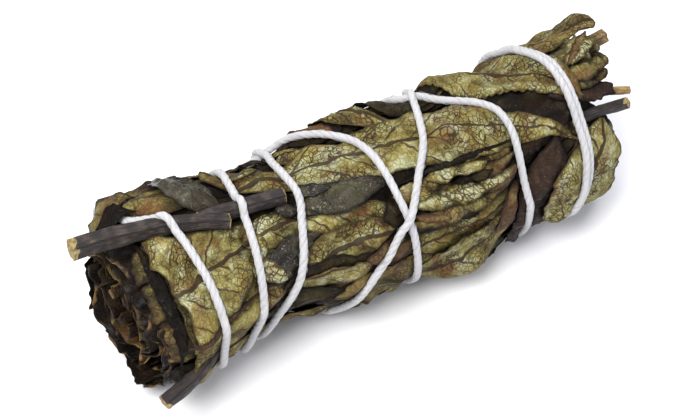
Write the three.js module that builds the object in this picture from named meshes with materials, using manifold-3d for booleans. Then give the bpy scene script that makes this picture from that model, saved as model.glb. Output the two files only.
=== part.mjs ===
// A bundle of dried sage, lying on its side: broad net-veined leaves folded round a packed core and woody
// stems, and one white cotton string wound along it and back again.
// Millimetres and degrees. +X runs along the bundle to its tip end, +Z is up, and the origin is on the
// surface under the bundle's middle. Angles go round the bundle: 0 on top, 90 at the front (-Y), 180 below.
import * as THREE from "three";
import { mergeVertices } from "three/addons/utils/BufferGeometryUtils.js";
import Module from "manifold-3d";

const wasm = await Module();
wasm.setup();

// The bundle
const BUNDLE_RADIUS = 18.4;
const AXIS_HEIGHT = 18.7; // of the centre line above the surface
const AXIS_BACK = -0.6; // of the centre line behind the middle of the whole bundle
const WAISTS = [
  { x: -22, depth: 1.9, width: 9 },
  { x: 33, depth: 1.1, width: 7 },
];
const SWAYS = [
  { x: -30, up: 1.1, back: 1.1, width: 13 },
  { x: 24, up: -0.5, back: -0.5, width: 12 },
];
const GAP = 0.33; // kept between pieces that touch

// The packed core of inner leaves
const CORE_HALF_LENGTH = 45;
const WRAP_DEPTH = 3.2; // of the outer leaves, from the core to the outside
const CORE_FLOOR = 5.4; // the core's flattened underside, above the surface
const CORE_STEP = 4.5;
const CORE_SIDES = 30;
const CORE_FOLD_DEPTH = 0.3;
const CORE_FOLDS = 9;
const CORE_FOLD_TWIST = 1 / 14; // radians in each mm
const UNDERSIDE = 0.2; // the least downward lean of a surface that the flat underside can reach

// The folded inner leaves that stand out of both ends
const FOLD_THICKNESS = 0.8;
const FOLD_ROOT = 4; // sunk into the core
const FOLD_WAVE = 0.9;
const FOLD_WAVE_PACE = 1.9; // radians at each step round the bundle
const FOLD_JAG = 0.16; // of how far a fold stands out
const FOLD_JAG_PACE = 2.3;
const FOLD_STEP = 3.6;
const FOLD_FEWEST_STEPS = 5;

// The outer leaves
const LEAF_THICKNESS = 0.7;
const LEAF_ROW = 4.2;
const LEAF_COLUMN = 3.6;
const LEAF_FEWEST_ROWS = 4;
const TOOTH = 0.05; // of the half width
const MM_PER_DEGREE = 0.314; // round the bundle at its outer radius

// The string
const STRING_RADIUS = 0.9;
const STRING_SIDES = 6;
const STRING_STEP = 12; // degrees
const KNOT_RADIUS = 2.1;

// The stems
const STEM_SIDES = 8;
const STEM_STEP = 9;

const TURN = 360;

const COLOURS = {
  core: 0x3a2f1c,
  pale: 0x8d8348,
  olive: 0x6d6a35,
  dark: 0x35352a,
  purple: 0x4a3a34,
  stem: 0x4b3b33,
  tan: 0xa17f4e,
  string: 0xe9e6e0,
};
const ROUGHNESS = { dark: 0.35, purple: 0.5, string: 0.95, other: 0.8 };

const radians = THREE.MathUtils.degToRad;
const degrees = THREE.MathUtils.radToDeg;
const hump = (x, at, width) => Math.exp(-(((x - at) / width) ** 2));

// Shape of the bundle
const total = (list, amount) => list.reduce((sum, item) => sum + amount(item), 0);
const axisHeight = (x) => AXIS_HEIGHT + total(SWAYS, (s) => s.up * hump(x, s.x, s.width));
const axisBack = (x) => AXIS_BACK + total(SWAYS, (s) => s.back * hump(x, s.x, s.width));
const bundleRadius = (x) => BUNDLE_RADIUS - total(WAISTS, (w) => w.depth * hump(x, w.x, w.width));

function coreRadius(x, angle) {
  const fold = CORE_FOLD_DEPTH * Math.sin(CORE_FOLDS * radians(angle) + x * CORE_FOLD_TWIST);
  const round = bundleRadius(x) - WRAP_DEPTH + fold;
  const down = -Math.cos(radians(angle));
  const flat = down > UNDERSIDE ? (axisHeight(x) - CORE_FLOOR) / down : Infinity;
  return Math.min(round, flat);
}

// A point of the bundle from its place along it, its angle round it and its distance from the centre line.
function place(x, angle, radius) {
  const a = radians(angle);
  return new THREE.Vector3(x, axisBack(x) - radius * Math.sin(a), axisHeight(x) + radius * Math.cos(a));
}

function placeOf(point) {
  const side = axisBack(point.x) - point.y;
  const up = point.z - axisHeight(point.x);
  return { x: point.x, angle: degrees(Math.atan2(side, up)), radius: Math.hypot(side, up) };
}

// The bundle's surface as it is built up: how far it is from the centre line in each cell of x and angle.
const CELL_MM = 0.5;
const CELL_DEGREES = 1.5;
const SAMPLE_MM = 0.3;
const SURFACE_HALF_LENGTH = 66;

class BuiltSurface {
  constructor() {
    this.columns = Math.round((2 * SURFACE_HALF_LENGTH) / CELL_MM);
    this.rows = Math.round(TURN / CELL_DEGREES);
    this.cells = new Float32Array(this.columns * this.rows);
    for (let i = 0; i < this.columns; i++) {
      const x = i * CELL_MM - SURFACE_HALF_LENGTH;
      if (Math.abs(x) > CORE_HALF_LENGTH + CELL_MM) continue;
      for (let j = 0; j < this.rows; j++) this.cells[i * this.rows + j] = coreRadius(x, j * CELL_DEGREES);
    }
  }

  cell(x, angle) {
    const i = Math.round((x + SURFACE_HALF_LENGTH) / CELL_MM);
    const j = Math.round(angle / CELL_DEGREES) % this.rows;
    return i * this.rows + ((j + this.rows) % this.rows);
  }

  radius(x, angle) {
    return this.cells[this.cell(x, angle)];
  }

  // Adds a triangle of a finished piece.
  add(triangle) {
    for (const [point] of samples(triangle)) {
      const { x, angle, radius } = placeOf(point);
      const cell = this.cell(x, angle);
      this.cells[cell] = Math.max(this.cells[cell], radius);
    }
  }
}

// Points over a triangle, each with its corners' weights.
function* samples([a, b, c]) {
  const steps = Math.ceil(Math.max(a.distanceTo(b), b.distanceTo(c), c.distanceTo(a)) / SAMPLE_MM);
  const point = new THREE.Vector3();
  for (let i = 0; i <= steps; i++)
    for (let j = 0; j <= steps - i; j++) {
      const weights = [1 - (i + j) / steps, i / steps, j / steps];
      point.copy(a).multiplyScalar(weights[0]).addScaledVector(b, weights[1]).addScaledVector(c, weights[2]);
      yield [point, weights];
    }
}

// Moves a piece's controls out until its inner faces clear the built surface. shape() gives the faces for the
// controls' distances, each as its corners and the control that carries each corner.
const SETTLE_ROUNDS = 60;
const SETTLED = 0.01;

function settle(surface, distances, shape) {
  for (let round = 0; round < SETTLE_ROUNDS; round++) {
    const raise = new Float32Array(distances.length);
    for (const { corners, controls } of shape()) {
      let lack = SETTLED;
      const carried = new Map();
      for (const [point, weights] of samples(corners)) {
        const { x, angle, radius } = placeOf(point);
        const lacking = surface.radius(x, angle) + GAP - radius;
        if (lacking <= lack) continue;
        lack = lacking;
        carried.clear();
        controls.forEach((control, k) => carried.set(control, (carried.get(control) ?? 0) + weights[k]));
      }
      const norm = total([...carried.values()], (weight) => weight ** 2);
      for (const [control, weight] of carried)
        raise[control] = Math.max(raise[control], (lack * weight) / norm);
    }
    if (raise.every((lift) => lift === 0)) return;
    raise.forEach((lift, control) => (distances[control] += lift));
  }
}

// Solids
function geometryOf(positions, indices) {
  const geometry = new THREE.BufferGeometry();
  geometry.setAttribute("position", new THREE.BufferAttribute(new Float32Array(positions), 3));
  geometry.setIndex(indices);
  return geometry;
}

function solidOf(geometry) {
  const bare = geometry.clone();
  bare.deleteAttribute("normal");
  bare.deleteAttribute("uv");
  const merged = mergeVertices(bare, 1e-4);
  return new wasm.Manifold(
    new wasm.Mesh({
      numProp: 3,
      vertProperties: merged.attributes.position.array,
      triVerts: new Uint32Array(merged.index.array),
    }),
  );
}

function geometryOfSolid(solid) {
  const mesh = solid.getMesh();
  return geometryOf(mesh.vertProperties, Array.from(mesh.triVerts));
}

// A closed shell between an outer and an inner grid of points, indexed [row][column].
function shellGeometry(outer, inner) {
  const rows = outer.length;
  const columns = outer[0].length;
  const positions = [outer, inner].flat(2).flatMap((p) => [p.x, p.y, p.z]);
  const at = (layer, i, j) => (layer * rows + i) * columns + j;
  const indices = [];
  const quad = (a, b, c, d) => indices.push(a, b, c, a, c, d);
  for (let i = 0; i < rows - 1; i++)
    for (let j = 0; j < columns - 1; j++) {
      quad(at(0, i, j), at(0, i, j + 1), at(0, i + 1, j + 1), at(0, i + 1, j));
      quad(at(1, i, j), at(1, i + 1, j), at(1, i + 1, j + 1), at(1, i, j + 1));
    }
  for (let i = 0; i < rows - 1; i++) {
    quad(at(0, i, 0), at(0, i + 1, 0), at(1, i + 1, 0), at(1, i, 0));
    quad(at(0, i, columns - 1), at(1, i, columns - 1), at(1, i + 1, columns - 1), at(0, i + 1, columns - 1));
  }
  for (let j = 0; j < columns - 1; j++) {
    quad(at(0, 0, j), at(1, 0, j), at(1, 0, j + 1), at(0, 0, j + 1));
    quad(at(0, rows - 1, j), at(0, rows - 1, j + 1), at(1, rows - 1, j + 1), at(1, rows - 1, j));
  }
  return geometryOf(positions, indices);
}

// A closed tube through rings of points.
function tubeGeometry(rings) {
  const sides = rings[0].length;
  const positions = rings.flat().flatMap((p) => [p.x, p.y, p.z]);
  const indices = [];
  for (let i = 0; i < rings.length - 1; i++)
    for (let j = 0; j < sides; j++) {
      const a = i * sides + j;
      const b = i * sides + ((j + 1) % sides);
      indices.push(a, b, b + sides, a, b + sides, a + sides);
    }
  for (let j = 1; j < sides - 1; j++) {
    const last = (rings.length - 1) * sides;
    indices.push(0, j + 1, j, last, last + j, last + j + 1);
  }
  return geometryOf(positions, indices);
}

// A ring of points about a centre. One flat of the ring faces outward.
function ringAbout(centre, along, outward, radius, sides) {
  const side = new THREE.Vector3().crossVectors(along, outward).normalize();
  const out = new THREE.Vector3().crossVectors(side, along).normalize();
  return Array.from({ length: sides }, (_, k) => {
    const turn = ((k + 0.5) / sides) * 2 * Math.PI;
    return centre
      .clone()
      .addScaledVector(out, radius * Math.cos(turn))
      .addScaledVector(side, radius * Math.sin(turn));
  });
}

// Outer leaves, in the order they lie. Each follows a curve of [x, angle] places: its base, a place that pulls
// the midrib sideways, and its tip. cut is the share of the blade that was cut off at its base.
const LEAVES = [
  { name: "under_right", base: [14, 18], via: [28, 26], tip: [48, 33], width: 17, colour: "dark" },
  { name: "under_top_left", base: [-47, -26], via: [-42, -18], tip: [-34, -4], width: 8, colour: "olive" },
  {
    name: "front_low_left",
    base: [-47, 75],
    via: [-34, 73],
    tip: [-18, 69],
    width: 18,
    cut: 0.4,
    colour: "pale",
  },
  {
    name: "bottom_left",
    base: [-48, 147],
    via: [-32, 143],
    tip: [-12, 134],
    width: 20,
    cut: 0.35,
    colour: "pale",
  },
  {
    name: "below_left",
    base: [-47, 192],
    via: [-30, 188],
    tip: [-9, 182],
    width: 20,
    cut: 0.35,
    colour: "olive",
  },
  {
    name: "back_left",
    base: [-48, 246],
    via: [-30, 240],
    tip: [-7, 236],
    width: 20,
    cut: 0.35,
    colour: "pale",
  },
  {
    name: "back_top_left",
    base: [-48, 303],
    via: [-34, 297],
    tip: [-12, 288],
    width: 21,
    cut: 0.3,
    colour: "olive",
  },
  { name: "bottom_middle", base: [-14, 148], via: [6, 150], tip: [31, 142], width: 19, colour: "pale" },
  { name: "below_middle", base: [-13, 204], via: [6, 208], tip: [31, 200], width: 19, colour: "pale" },
  { name: "back_middle", base: [-13, 262], via: [8, 262], tip: [34, 256], width: 21, colour: "olive" },
  { name: "back_top_middle", base: [-16, 318], via: [4, 312], tip: [26, 306], width: 17, colour: "pale" },
  { name: "bottom_right", base: [22, 165], via: [36, 168], tip: [55, 163], width: 19, colour: "olive" },
  { name: "below_right", base: [24, 222], via: [38, 226], tip: [56, 230], width: 20, colour: "pale" },
  { name: "back_right", base: [21, 283], via: [38, 285], tip: [57, 287], width: 20, colour: "olive" },
  { name: "lower_right", base: [-6, 86], via: [12, 92], tip: [32, 80], width: 15, colour: "olive" },
  { name: "lower_middle", base: [-16, 103], via: [-4, 106], tip: [10, 108], width: 12, colour: "olive" },
  { name: "low_fold", base: [4, 110], via: [18, 108], tip: [33, 100], width: 11, colour: "pale" },
  {
    name: "front_left",
    base: [-47, 46],
    via: [-33, 40],
    tip: [-14, 29],
    width: 24,
    cut: 0.42,
    colour: "pale",
  },
  { name: "glossy_low", base: [-28, 56], via: [-22, 47], tip: [-11, 42], width: 7, colour: "dark" },
  { name: "front_middle", base: [-25, 62], via: [-12, 54], tip: [3, 64], width: 11, colour: "pale" },
  { name: "lens_fold", base: [-27, 82], via: [-16, 74], tip: [-4, 81], width: 5.5, colour: "pale" },
  { name: "crumple_low", base: [-1, 68], via: [10, 70], tip: [24, 61], width: 5, colour: "olive" },
  { name: "crumple_middle", base: [1, 51], via: [12, 59], tip: [27, 51], width: 6, colour: "pale" },
  { name: "crumple_high", base: [3, 40], via: [13, 46], tip: [26, 44], width: 5.5, colour: "olive" },
  { name: "top_left", base: [-30, -34], via: [-24, -12], tip: [-12, 6], width: 11, colour: "pale" },
  { name: "top_fold", base: [-12, -44], via: [-7, -30], tip: [0, -12], width: 6, colour: "dark" },
  { name: "top_pale", base: [-4, -40], via: [3, -25], tip: [10, -8], width: 8, colour: "pale" },
  { name: "top_grey", base: [6, -48], via: [13, -28], tip: [18, -1], width: 8, colour: "dark" },
  { name: "top_left_grey", base: [-37, -42], via: [-36, -14], tip: [-29, 6], width: 8, colour: "dark" },
  { name: "purple_band", base: [34, 140], via: [33, 98], tip: [38, 54], width: 11, colour: "purple" },
  { name: "right_end_front", base: [40, 124], via: [46, 92], tip: [50, 55], width: 15, colour: "pale" },
  { name: "right_end_brown", base: [40, 24], via: [47, 30], tip: [56, 34], width: 8, colour: "purple" },
  { name: "right_end_top", base: [36, -32], via: [46, -26], tip: [58, -20], width: 15, colour: "pale" },
  { name: "long_top", base: [-27, 0], via: [26, 3], tip: [43, 54], width: 13.5, colour: "pale" },
  { name: "toothed_top", base: [12, -46], via: [30, -26], tip: [46, 8], width: 17, colour: "pale" },
  { name: "glossy_middle", base: [-23, 22], via: [-12, 28], tip: [1, 33], width: 7, colour: "dark" },
];
const LEAVES_UNDER_STEM = 18; // the leaves up to here are laid before the stem that lies on the outside

// The half width at a share of the way from base to tip, as a share of its greatest.
const NARROWEST = 0.07;
const FULLNESS = 0.75;
const leafProfile = (share) => Math.max(NARROWEST, Math.sin(Math.PI * share ** 0.85) ** FULLNESS);

function leafPlaces({ base, via, tip, width, cut = 0 }) {
  const flat = ([x, angle]) => new THREE.Vector2(x, angle * MM_PER_DEGREE);
  const midrib = new THREE.QuadraticBezierCurve(flat(base), flat(via), flat(tip));
  const rows = Math.max(LEAF_FEWEST_ROWS, Math.round(midrib.getLength() / LEAF_ROW));
  const columns = 2 * Math.max(1, Math.round(width / 2 / LEAF_COLUMN));
  return Array.from({ length: rows + 1 }, (_, i) => {
    const share = i / rows;
    const middle = midrib.getPointAt(share);
    const along = midrib.getTangentAt(share);
    const half = (width / 2) * leafProfile(cut + (1 - cut) * share);
    return Array.from({ length: columns + 1 }, (_, j) => {
      const across = (2 * j) / columns - 1;
      const margin = j === 0 || j === columns ? 1 + TOOTH * (-1) ** i : 1;
      const reach = half * across * margin;
      return [middle.x - along.y * reach, (middle.y + along.x * reach) / MM_PER_DEGREE];
    });
  });
}

function leafGeometry(surface, leaf) {
  const places = leafPlaces(leaf);
  const rows = places.length;
  const columns = places[0].length;
  const distances = new Float32Array(rows * columns);
  places.flat().forEach(([x, angle], k) => {
    const nearest = THREE.MathUtils.clamp(x, -CORE_HALF_LENGTH, CORE_HALF_LENGTH);
    distances[k] = Math.max(surface.radius(x, angle), coreRadius(nearest, angle)) + GAP;
  });
  const grid = (extra) =>
    places.map((row, i) => row.map(([x, angle], j) => place(x, angle, distances[i * columns + j] + extra)));
  const underside = () => {
    const points = grid(0);
    const faces = [];
    for (let i = 0; i < rows - 1; i++)
      for (let j = 0; j < columns - 1; j++) {
        const k = i * columns + j;
        const [a, b, c, d] = [points[i][j], points[i][j + 1], points[i + 1][j + 1], points[i + 1][j]];
        faces.push({ corners: [a, b, c], controls: [k, k + 1, k + 1 + columns] });
        faces.push({ corners: [a, c, d], controls: [k, k + 1 + columns, k + columns] });
      }
    return faces;
  };
  settle(surface, distances, underside);
  return shellGeometry(grid(LEAF_THICKNESS), grid(0));
}

// Stems, as places of [x, angle, distance from the centre line], with their radius at each end.
const STEMS_INSIDE = [
  {
    name: "stem_inner_tan",
    path: [[-47, 20, 9], [47, 27, 13], [59, 42, 14.6]],
    radii: [1.3, 0.85],
    colour: "tan",
  },
  {
    name: "stem_inner_purple",
    path: [[-48, 75, 8], [20, 58, 11.5], [47, 47, 15.2], [57.5, 51, 14.4]],
    radii: [1.5, 1.15],
    colour: "stem",
  },
  {
    name: "stem_inner_top",
    path: [[-47, 318, 7], [20, 345, 10.5], [60.2, 357, 17.5]],
    radii: [1.5, 1.4],
    colour: "stem",
  },
  { name: "stem_inner_low", path: [[-50, 215, 9], [54, 150, 11.5]], radii: [1.6, 1.2], colour: "stem" },
  { name: "stem_inner_back", path: [[-49, 265, 10.5], [52, 262, 9]], radii: [1.3, 1.5], colour: "stem" },
  { name: "stem_inner_middle", path: [[-48, 120, 4], [53, 60, 5]], radii: [1.4, 1.2], colour: "stem" },
  {
    name: "stem_front_low",
    path: [[-52.5, 112, 19.6], [-46, 108, 18], [-40, 104, 15.4], [-28, 100, 13.4], [-13, 95, 13]],
    radii: [1.6, 1.2],
    colour: "stem",
  },
  {
    name: "stem_top_second",
    path: [[-36, 10, 13.4], [-29, 15.5, 15.2], [-19.5, 16.5, 15]],
    radii: [1.75, 1.6],
    colour: "stem",
  },
];
const STEM_OUTSIDE = {
  name: "stem_top_left",
  path: [[-59.9, -4, 19.4], [-51, -1, 18.6], [-42, 6.5, 17.6], [-31.5, 21.8, 17]],
  radii: [2.15, 1.5],
  colour: "stem",
};
const HOLE_ROOM = 0.35; // round an inner stem

function stemCurve(stem) {
  return new THREE.CatmullRomCurve3(stem.path.map(([x, angle, distance]) => place(x, angle, distance)));
}

function stemGeometry(stem, extra = 0, surface = null) {
  const curve = stemCurve(stem);
  const count = Math.max(2, Math.round(curve.getLength() / STEM_STEP));
  const shares = Array.from({ length: count + 1 }, (_, i) => i / count);
  const centres = shares.map((share) => placeOf(curve.getPointAt(share)));
  const distances = new Float32Array(centres.map(({ radius }) => radius));
  const rings = () =>
    centres.map(({ x, angle }, i) => {
      const centre = place(x, angle, distances[i]);
      const outward = place(x, angle, distances[i] + 1).sub(centre);
      const radius = THREE.MathUtils.lerp(...stem.radii, shares[i]) + extra;
      return ringAbout(centre, curve.getTangentAt(shares[i]), outward, radius, STEM_SIDES);
    });
  if (surface) settle(surface, distances, () => tubeFaces(rings()));
  return tubeGeometry(rings());
}

// The side faces of a tube, each with the rings that carry it.
function tubeFaces(rings) {
  const faces = [];
  for (let i = 0; i < rings.length - 1; i++)
    rings[i].forEach((corner, j) => {
      const next = (j + 1) % rings[i].length;
      faces.push({ corners: [corner, rings[i][next], rings[i + 1][next]], controls: [i, i, i + 1] });
      faces.push({ corners: [corner, rings[i + 1][next], rings[i + 1][j]], controls: [i, i + 1, i + 1] });
    });
  return faces;
}

// The core, with the folded leaves of both ends
function coreBarrel() {
  const steps = Math.round((2 * CORE_HALF_LENGTH) / CORE_STEP);
  const rings = Array.from({ length: steps + 1 }, (_, i) => {
    const x = CORE_HALF_LENGTH * ((2 * i) / steps - 1);
    return Array.from({ length: CORE_SIDES }, (_, j) => {
      const angle = (TURN * j) / CORE_SIDES;
      return place(x, angle, coreRadius(x, angle));
    });
  });
  return tubeGeometry(rings);
}

// Folded leaves at one end, from the middle out: the place round the bundle where each starts, how far round
// it goes, its distance from the centre line and how far it stands out of the core.
const CUT_END_FOLDS = [
  { start: 20, span: 250, distance: 2.6, out: 5 },
  { start: 200, span: 190, distance: 4.9, out: 7 },
  { start: 10, span: 150, distance: 5.6, out: 8.5 },
  { start: 90, span: 130, distance: 8.2, out: 6 },
  { start: 230, span: 140, distance: 8.4, out: 8 },
  { start: 330, span: 100, distance: 9, out: 4.5 },
  { start: 60, span: 110, distance: 11.2, out: 4 },
  { start: 160, span: 100, distance: 11, out: 8.5 },
  { start: 250, span: 95, distance: 11.2, out: 7.5 },
  { start: 340, span: 70, distance: 11.8, out: 5 },
  { start: 30, span: 90, distance: 13.4, out: 3.5 },
  { start: 190, span: 80, distance: 13, out: 6 },
];
const TIP_END_FOLDS = [
  { start: 150, span: 240, distance: 2.8, out: 8 },
  { start: 330, span: 180, distance: 5.2, out: 11 },
  { start: 150, span: 150, distance: 5.6, out: 7 },
  { start: 310, span: 120, distance: 8.4, out: 12 },
  { start: 80, span: 110, distance: 8.6, out: 6 },
  { start: 210, span: 110, distance: 8.2, out: 9 },
  { start: 340, span: 75, distance: 11.4, out: 9 },
  { start: 70, span: 90, distance: 11.2, out: 5 },
  { start: 175, span: 90, distance: 11, out: 7 },
  { start: 275, span: 80, distance: 11.2, out: 10 },
];

function foldGeometry({ start, span, distance, out }, end) {
  const steps = Math.max(FOLD_FEWEST_STEPS, Math.round((radians(span) * distance) / FOLD_STEP));
  const row = (extra) =>
    Array.from({ length: steps + 1 }, (_, i) => {
      const angle = start + (span * i) / steps;
      const wave = FOLD_WAVE * Math.sin(i * FOLD_WAVE_PACE + start);
      const jag = FOLD_JAG * (Math.sin(i * FOLD_JAG_PACE + distance) - 1);
      const reach = CORE_HALF_LENGTH + out * (1 + jag);
      const sides = [end * (CORE_HALF_LENGTH - FOLD_ROOT), end * reach].sort((a, b) => a - b);
      return sides.map((x) => place(x, angle, distance + wave + extra));
    });
  return shellGeometry(row(0), row(FOLD_THICKNESS));
}

function coreSolid() {
  let core = solidOf(coreBarrel());
  for (const [folds, end] of [[CUT_END_FOLDS, -1], [TIP_END_FOLDS, 1]])
    for (const fold of folds) core = core.add(solidOf(foldGeometry(fold, end)));
  for (const stem of STEMS_INSIDE) core = core.subtract(solidOf(stemGeometry(stem, HOLE_ROOM)));
  const [largest] = core.decompose().sort((a, b) => b.volume() - a.volume());
  return largest;
}

// The string's way round the bundle, as [x, angle]: from the knot at the back along to the tip end, and from
// STRING_RETURN on back again to the knot, over the turns laid first.
const STRING_ROUTE = [
  [-47.6, -90], [-48, -60], [-48.2, -36], [-48, -21], [-47.2, -12.5], [-45.3, -6.5], [-43.5, -1], [-42.3, 6],
  [-41.7, 15], [-40.8, 45], [-40.6, 75], [-40.3, 100], [-38.8, 140], [-37.4, 180], [-37, 212], [-35.5, 236],
  [-31.5, 252], [-26.5, 268], [-20.6, 284], [-15.9, 298], [-11, 314], [-7.6, 330], [-3.8, 345], [-1.2, 357],
  [0, 370], [0.4, 385], [0.5, 410], [1.3, 432], [2.2, 458], [3.6, 485], [6, 540], [8.6, 590], [11.5, 640],
  [13.6, 676], [13.6, 695], [18.2, 706], [23.8, 719.5], [27.6, 736], [28.3, 750], [27.9, 768], [27.9, 790],
  [28.9, 817], [30.7, 845], [31.8, 880], [32.5, 900], [33.4, 940], [34.8, 966], [39, 985], [43.55, 1003],
  [45.35, 1022], [44.75, 1042], [43.65, 1063], [44.15, 1084], [44.45, 1112], [44.35, 1132], [43.95, 1150],
  [43.15, 1167], [42.35, 1180], [41.95, 1210], [41.75, 1300], [41.85, 1345], [43.25, 1380], [42.65, 1402],
  [41.65, 1423], [42.15, 1444], [42.45, 1472], [42.35, 1492], [41.95, 1510], [41.15, 1527], [40.35, 1542],
  [39.55, 1565], [39, 1600], [38.3, 1630], [37.2, 1662], [34.6, 1684], [29.9, 1703], [25.2, 1725],
  [19.6, 1750], [15.8, 1780], [13.4, 1800], [10.6, 1820], [5.8, 1840], [1.2, 1858], [-3.4, 1871],
  [-7.6, 1886], [-9.4, 1898], [-10.8, 1914], [-12.4, 1935], [-15, 1975], [-16.4, 2030], [-15.2, 2085],
  [-14.4, 2112], [-16.2, 2140], [-16.9, 2160], [-17.1, 2180], [-19.3, 2200], [-21.2, 2219], [-23.2, 2237],
  [-25.2, 2252], [-27.5, 2272], [-29.6, 2310], [-29.5, 2340], [-28.4, 2385], [-26.6, 2420], [-24.9, 2470],
  [-26.2, 2495], [-27.4, 2520], [-28.4, 2540], [-29.5, 2560], [-30.5, 2582], [-31.4, 2606], [-32.6, 2640],
  [-33.6, 2700], [-34, 2735], [-36.8, 2758], [-41.6, 2773], [-46.8, 2790],
];
const STRING_RETURN = 1210;
const FLAT_SPREAD = 18; // degrees each side of the underside over which the string lies flat on the surface
const OWN_CONTINUATION = 60; // degrees of the first way that the return starts from and so doesn't pass over
const ROUTE_FINENESS = 24; // points between the places of the route

function stringPlaces() {
  const points = STRING_ROUTE.map(([x, angle]) => new THREE.Vector3(x, angle * MM_PER_DEGREE));
  const fine = new THREE.CatmullRomCurve3(points).getPoints(points.length * ROUTE_FINENESS);
  const places = [];
  let k = 0;
  for (let angle = STRING_ROUTE[0][1]; angle <= STRING_ROUTE.at(-1)[1]; angle += STRING_STEP) {
    const y = angle * MM_PER_DEGREE;
    while (k < fine.length - 2 && fine[k + 1].y < y) k++;
    const share = THREE.MathUtils.clamp((y - fine[k].y) / (fine[k + 1].y - fine[k].y), 0, 1);
    places.push([THREE.MathUtils.lerp(fine[k].x, fine[k + 1].x, share), angle]);
  }
  return places;
}

// Pulls the string straight over the hollows beside what it passes over.
const TAUT_ROUNDS = 12;

function pullTaut(distances, from, to) {
  const straight = Math.cos(radians(STRING_STEP)) / 2;
  for (let round = 0; round < TAUT_ROUNDS; round++)
    for (let i = Math.max(1, from); i < Math.min(to, distances.length - 1); i++)
      distances[i] = Math.max(distances[i], straight * (distances[i - 1] + distances[i + 1]));
}

const isFlat = (angle) => Math.abs((((angle % TURN) + TURN) % TURN) - TURN / 2) <= FLAT_SPREAD;

function stringSolid(surface) {
  const places = stringPlaces();
  const flatHeight = STRING_RADIUS * Math.cos(Math.PI / STRING_SIDES);
  const flatDistance = (x, angle) => (axisHeight(x) - flatHeight) / -Math.cos(radians(angle));
  const laid = ([x, angle]) => surface.radius(x, angle) + GAP + STRING_RADIUS;
  const distances = new Float32Array(places.map(laid));
  const rings = () => {
    const centres = places.map(([x, angle], i) =>
      place(x, angle, isFlat(angle) ? flatDistance(x, angle) : distances[i]),
    );
    return centres.map((centre, i) => {
      const [x, angle] = places[i];
      const after = centres[Math.min(centres.length - 1, i + 1)];
      const along = after.clone().sub(centres[Math.max(0, i - 1)]).normalize();
      const outward = place(x, angle, 1).sub(place(x, angle, 0));
      if (isFlat(angle)) {
        along.setZ(0).normalize();
        outward.set(0, 0, -1);
      }
      return ringAbout(centre, along, outward, STRING_RADIUS, STRING_SIDES);
    });
  };
  const faces = (from, to) =>
    tubeFaces(rings()).filter(({ controls }) => controls[0] >= from && controls[0] < to);
  const free = ({ controls }) => !controls.some((control) => isFlat(places[control][1]));
  const ringAt = (angle) => places.findIndex((ring) => ring[1] >= angle);
  const returns = ringAt(STRING_RETURN);
  pullTaut(distances, 0, returns);
  settle(surface, distances, () => faces(0, returns).filter(free));
  pullTaut(distances, 0, returns);
  faces(0, ringAt(STRING_RETURN - OWN_CONTINUATION)).forEach((face) => surface.add(face.corners));
  for (let i = returns + 1; i < places.length; i++) distances[i] = laid(places[i]);
  pullTaut(distances, returns + 1, places.length);
  settle(surface, distances, () => faces(returns, places.length).filter(free));
  pullTaut(distances, returns + 1, places.length);
  const finished = rings();
  return solidOf(tubeGeometry(finished)).add(knotSolid(finished[0], finished.at(-1)));
}

function knotSolid(firstRing, lastRing) {
  const middle = new THREE.Vector3();
  for (const point of [...firstRing, ...lastRing]) middle.add(point);
  middle.divideScalar(firstRing.length + lastRing.length);
  return solidOf(new THREE.IcosahedronGeometry(KNOT_RADIUS, 1).translate(...middle));
}

// The whole bundle
const bundle = new THREE.Group();
const surface = new BuiltSurface();

function addPiece(name, geometry, colour) {
  const roughness = ROUGHNESS[colour] ?? ROUGHNESS.other;
  const material = new THREE.MeshStandardMaterial({ color: COLOURS[colour], roughness });
  const mesh = new THREE.Mesh(geometry, material);
  mesh.name = name;
  bundle.add(mesh);
  const position = geometry.attributes.position;
  const corner = (k) => new THREE.Vector3().fromBufferAttribute(position, k);
  const index = geometry.index.array;
  for (let k = 0; k < index.length; k += 3) surface.add([0, 1, 2].map((n) => corner(index[k + n])));
}

addPiece("packed_inner_leaves", geometryOfSolid(coreSolid()), "core");
for (const stem of STEMS_INSIDE) addPiece(stem.name, stemGeometry(stem), stem.colour);
LEAVES.forEach((leaf, k) => {
  if (k === LEAVES_UNDER_STEM) addPiece(STEM_OUTSIDE.name, stemGeometry(STEM_OUTSIDE, 0, surface), "stem");
  addPiece("leaf_" + leaf.name, leafGeometry(surface, leaf), leaf.colour);
});
addPiece("cotton_string", geometryOfSolid(stringSolid(surface)), "string");

export default bundle;
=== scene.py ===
"""Looks of the tied bundle of dried sage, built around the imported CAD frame.

Lengths are in millimetres and turned into metres as each mesh is made. The bundle lies along X. A point on it
is given by x, its angle round the axis (0 on top, 90 at the front, 180 below, 270 behind) and its radius.
"""

import math

import bpy
import numpy as np
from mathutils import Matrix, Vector


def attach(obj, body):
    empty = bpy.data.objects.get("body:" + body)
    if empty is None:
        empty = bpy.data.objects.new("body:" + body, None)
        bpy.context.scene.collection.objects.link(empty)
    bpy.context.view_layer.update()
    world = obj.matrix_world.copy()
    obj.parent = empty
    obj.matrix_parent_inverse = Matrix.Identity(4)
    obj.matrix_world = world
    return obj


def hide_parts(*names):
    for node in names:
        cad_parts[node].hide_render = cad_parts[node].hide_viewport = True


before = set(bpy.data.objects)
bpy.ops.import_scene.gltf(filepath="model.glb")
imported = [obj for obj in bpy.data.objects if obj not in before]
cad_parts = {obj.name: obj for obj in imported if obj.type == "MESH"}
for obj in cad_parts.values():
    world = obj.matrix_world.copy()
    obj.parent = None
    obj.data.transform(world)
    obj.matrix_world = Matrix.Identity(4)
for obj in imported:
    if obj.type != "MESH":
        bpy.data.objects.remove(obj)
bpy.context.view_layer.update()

# The bundle's own shape, as in the part's source
MM = 0.001
BUNDLE_RADIUS = 18.4
AXIS_HEIGHT = 18.7
AXIS_BACK = -0.6
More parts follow.
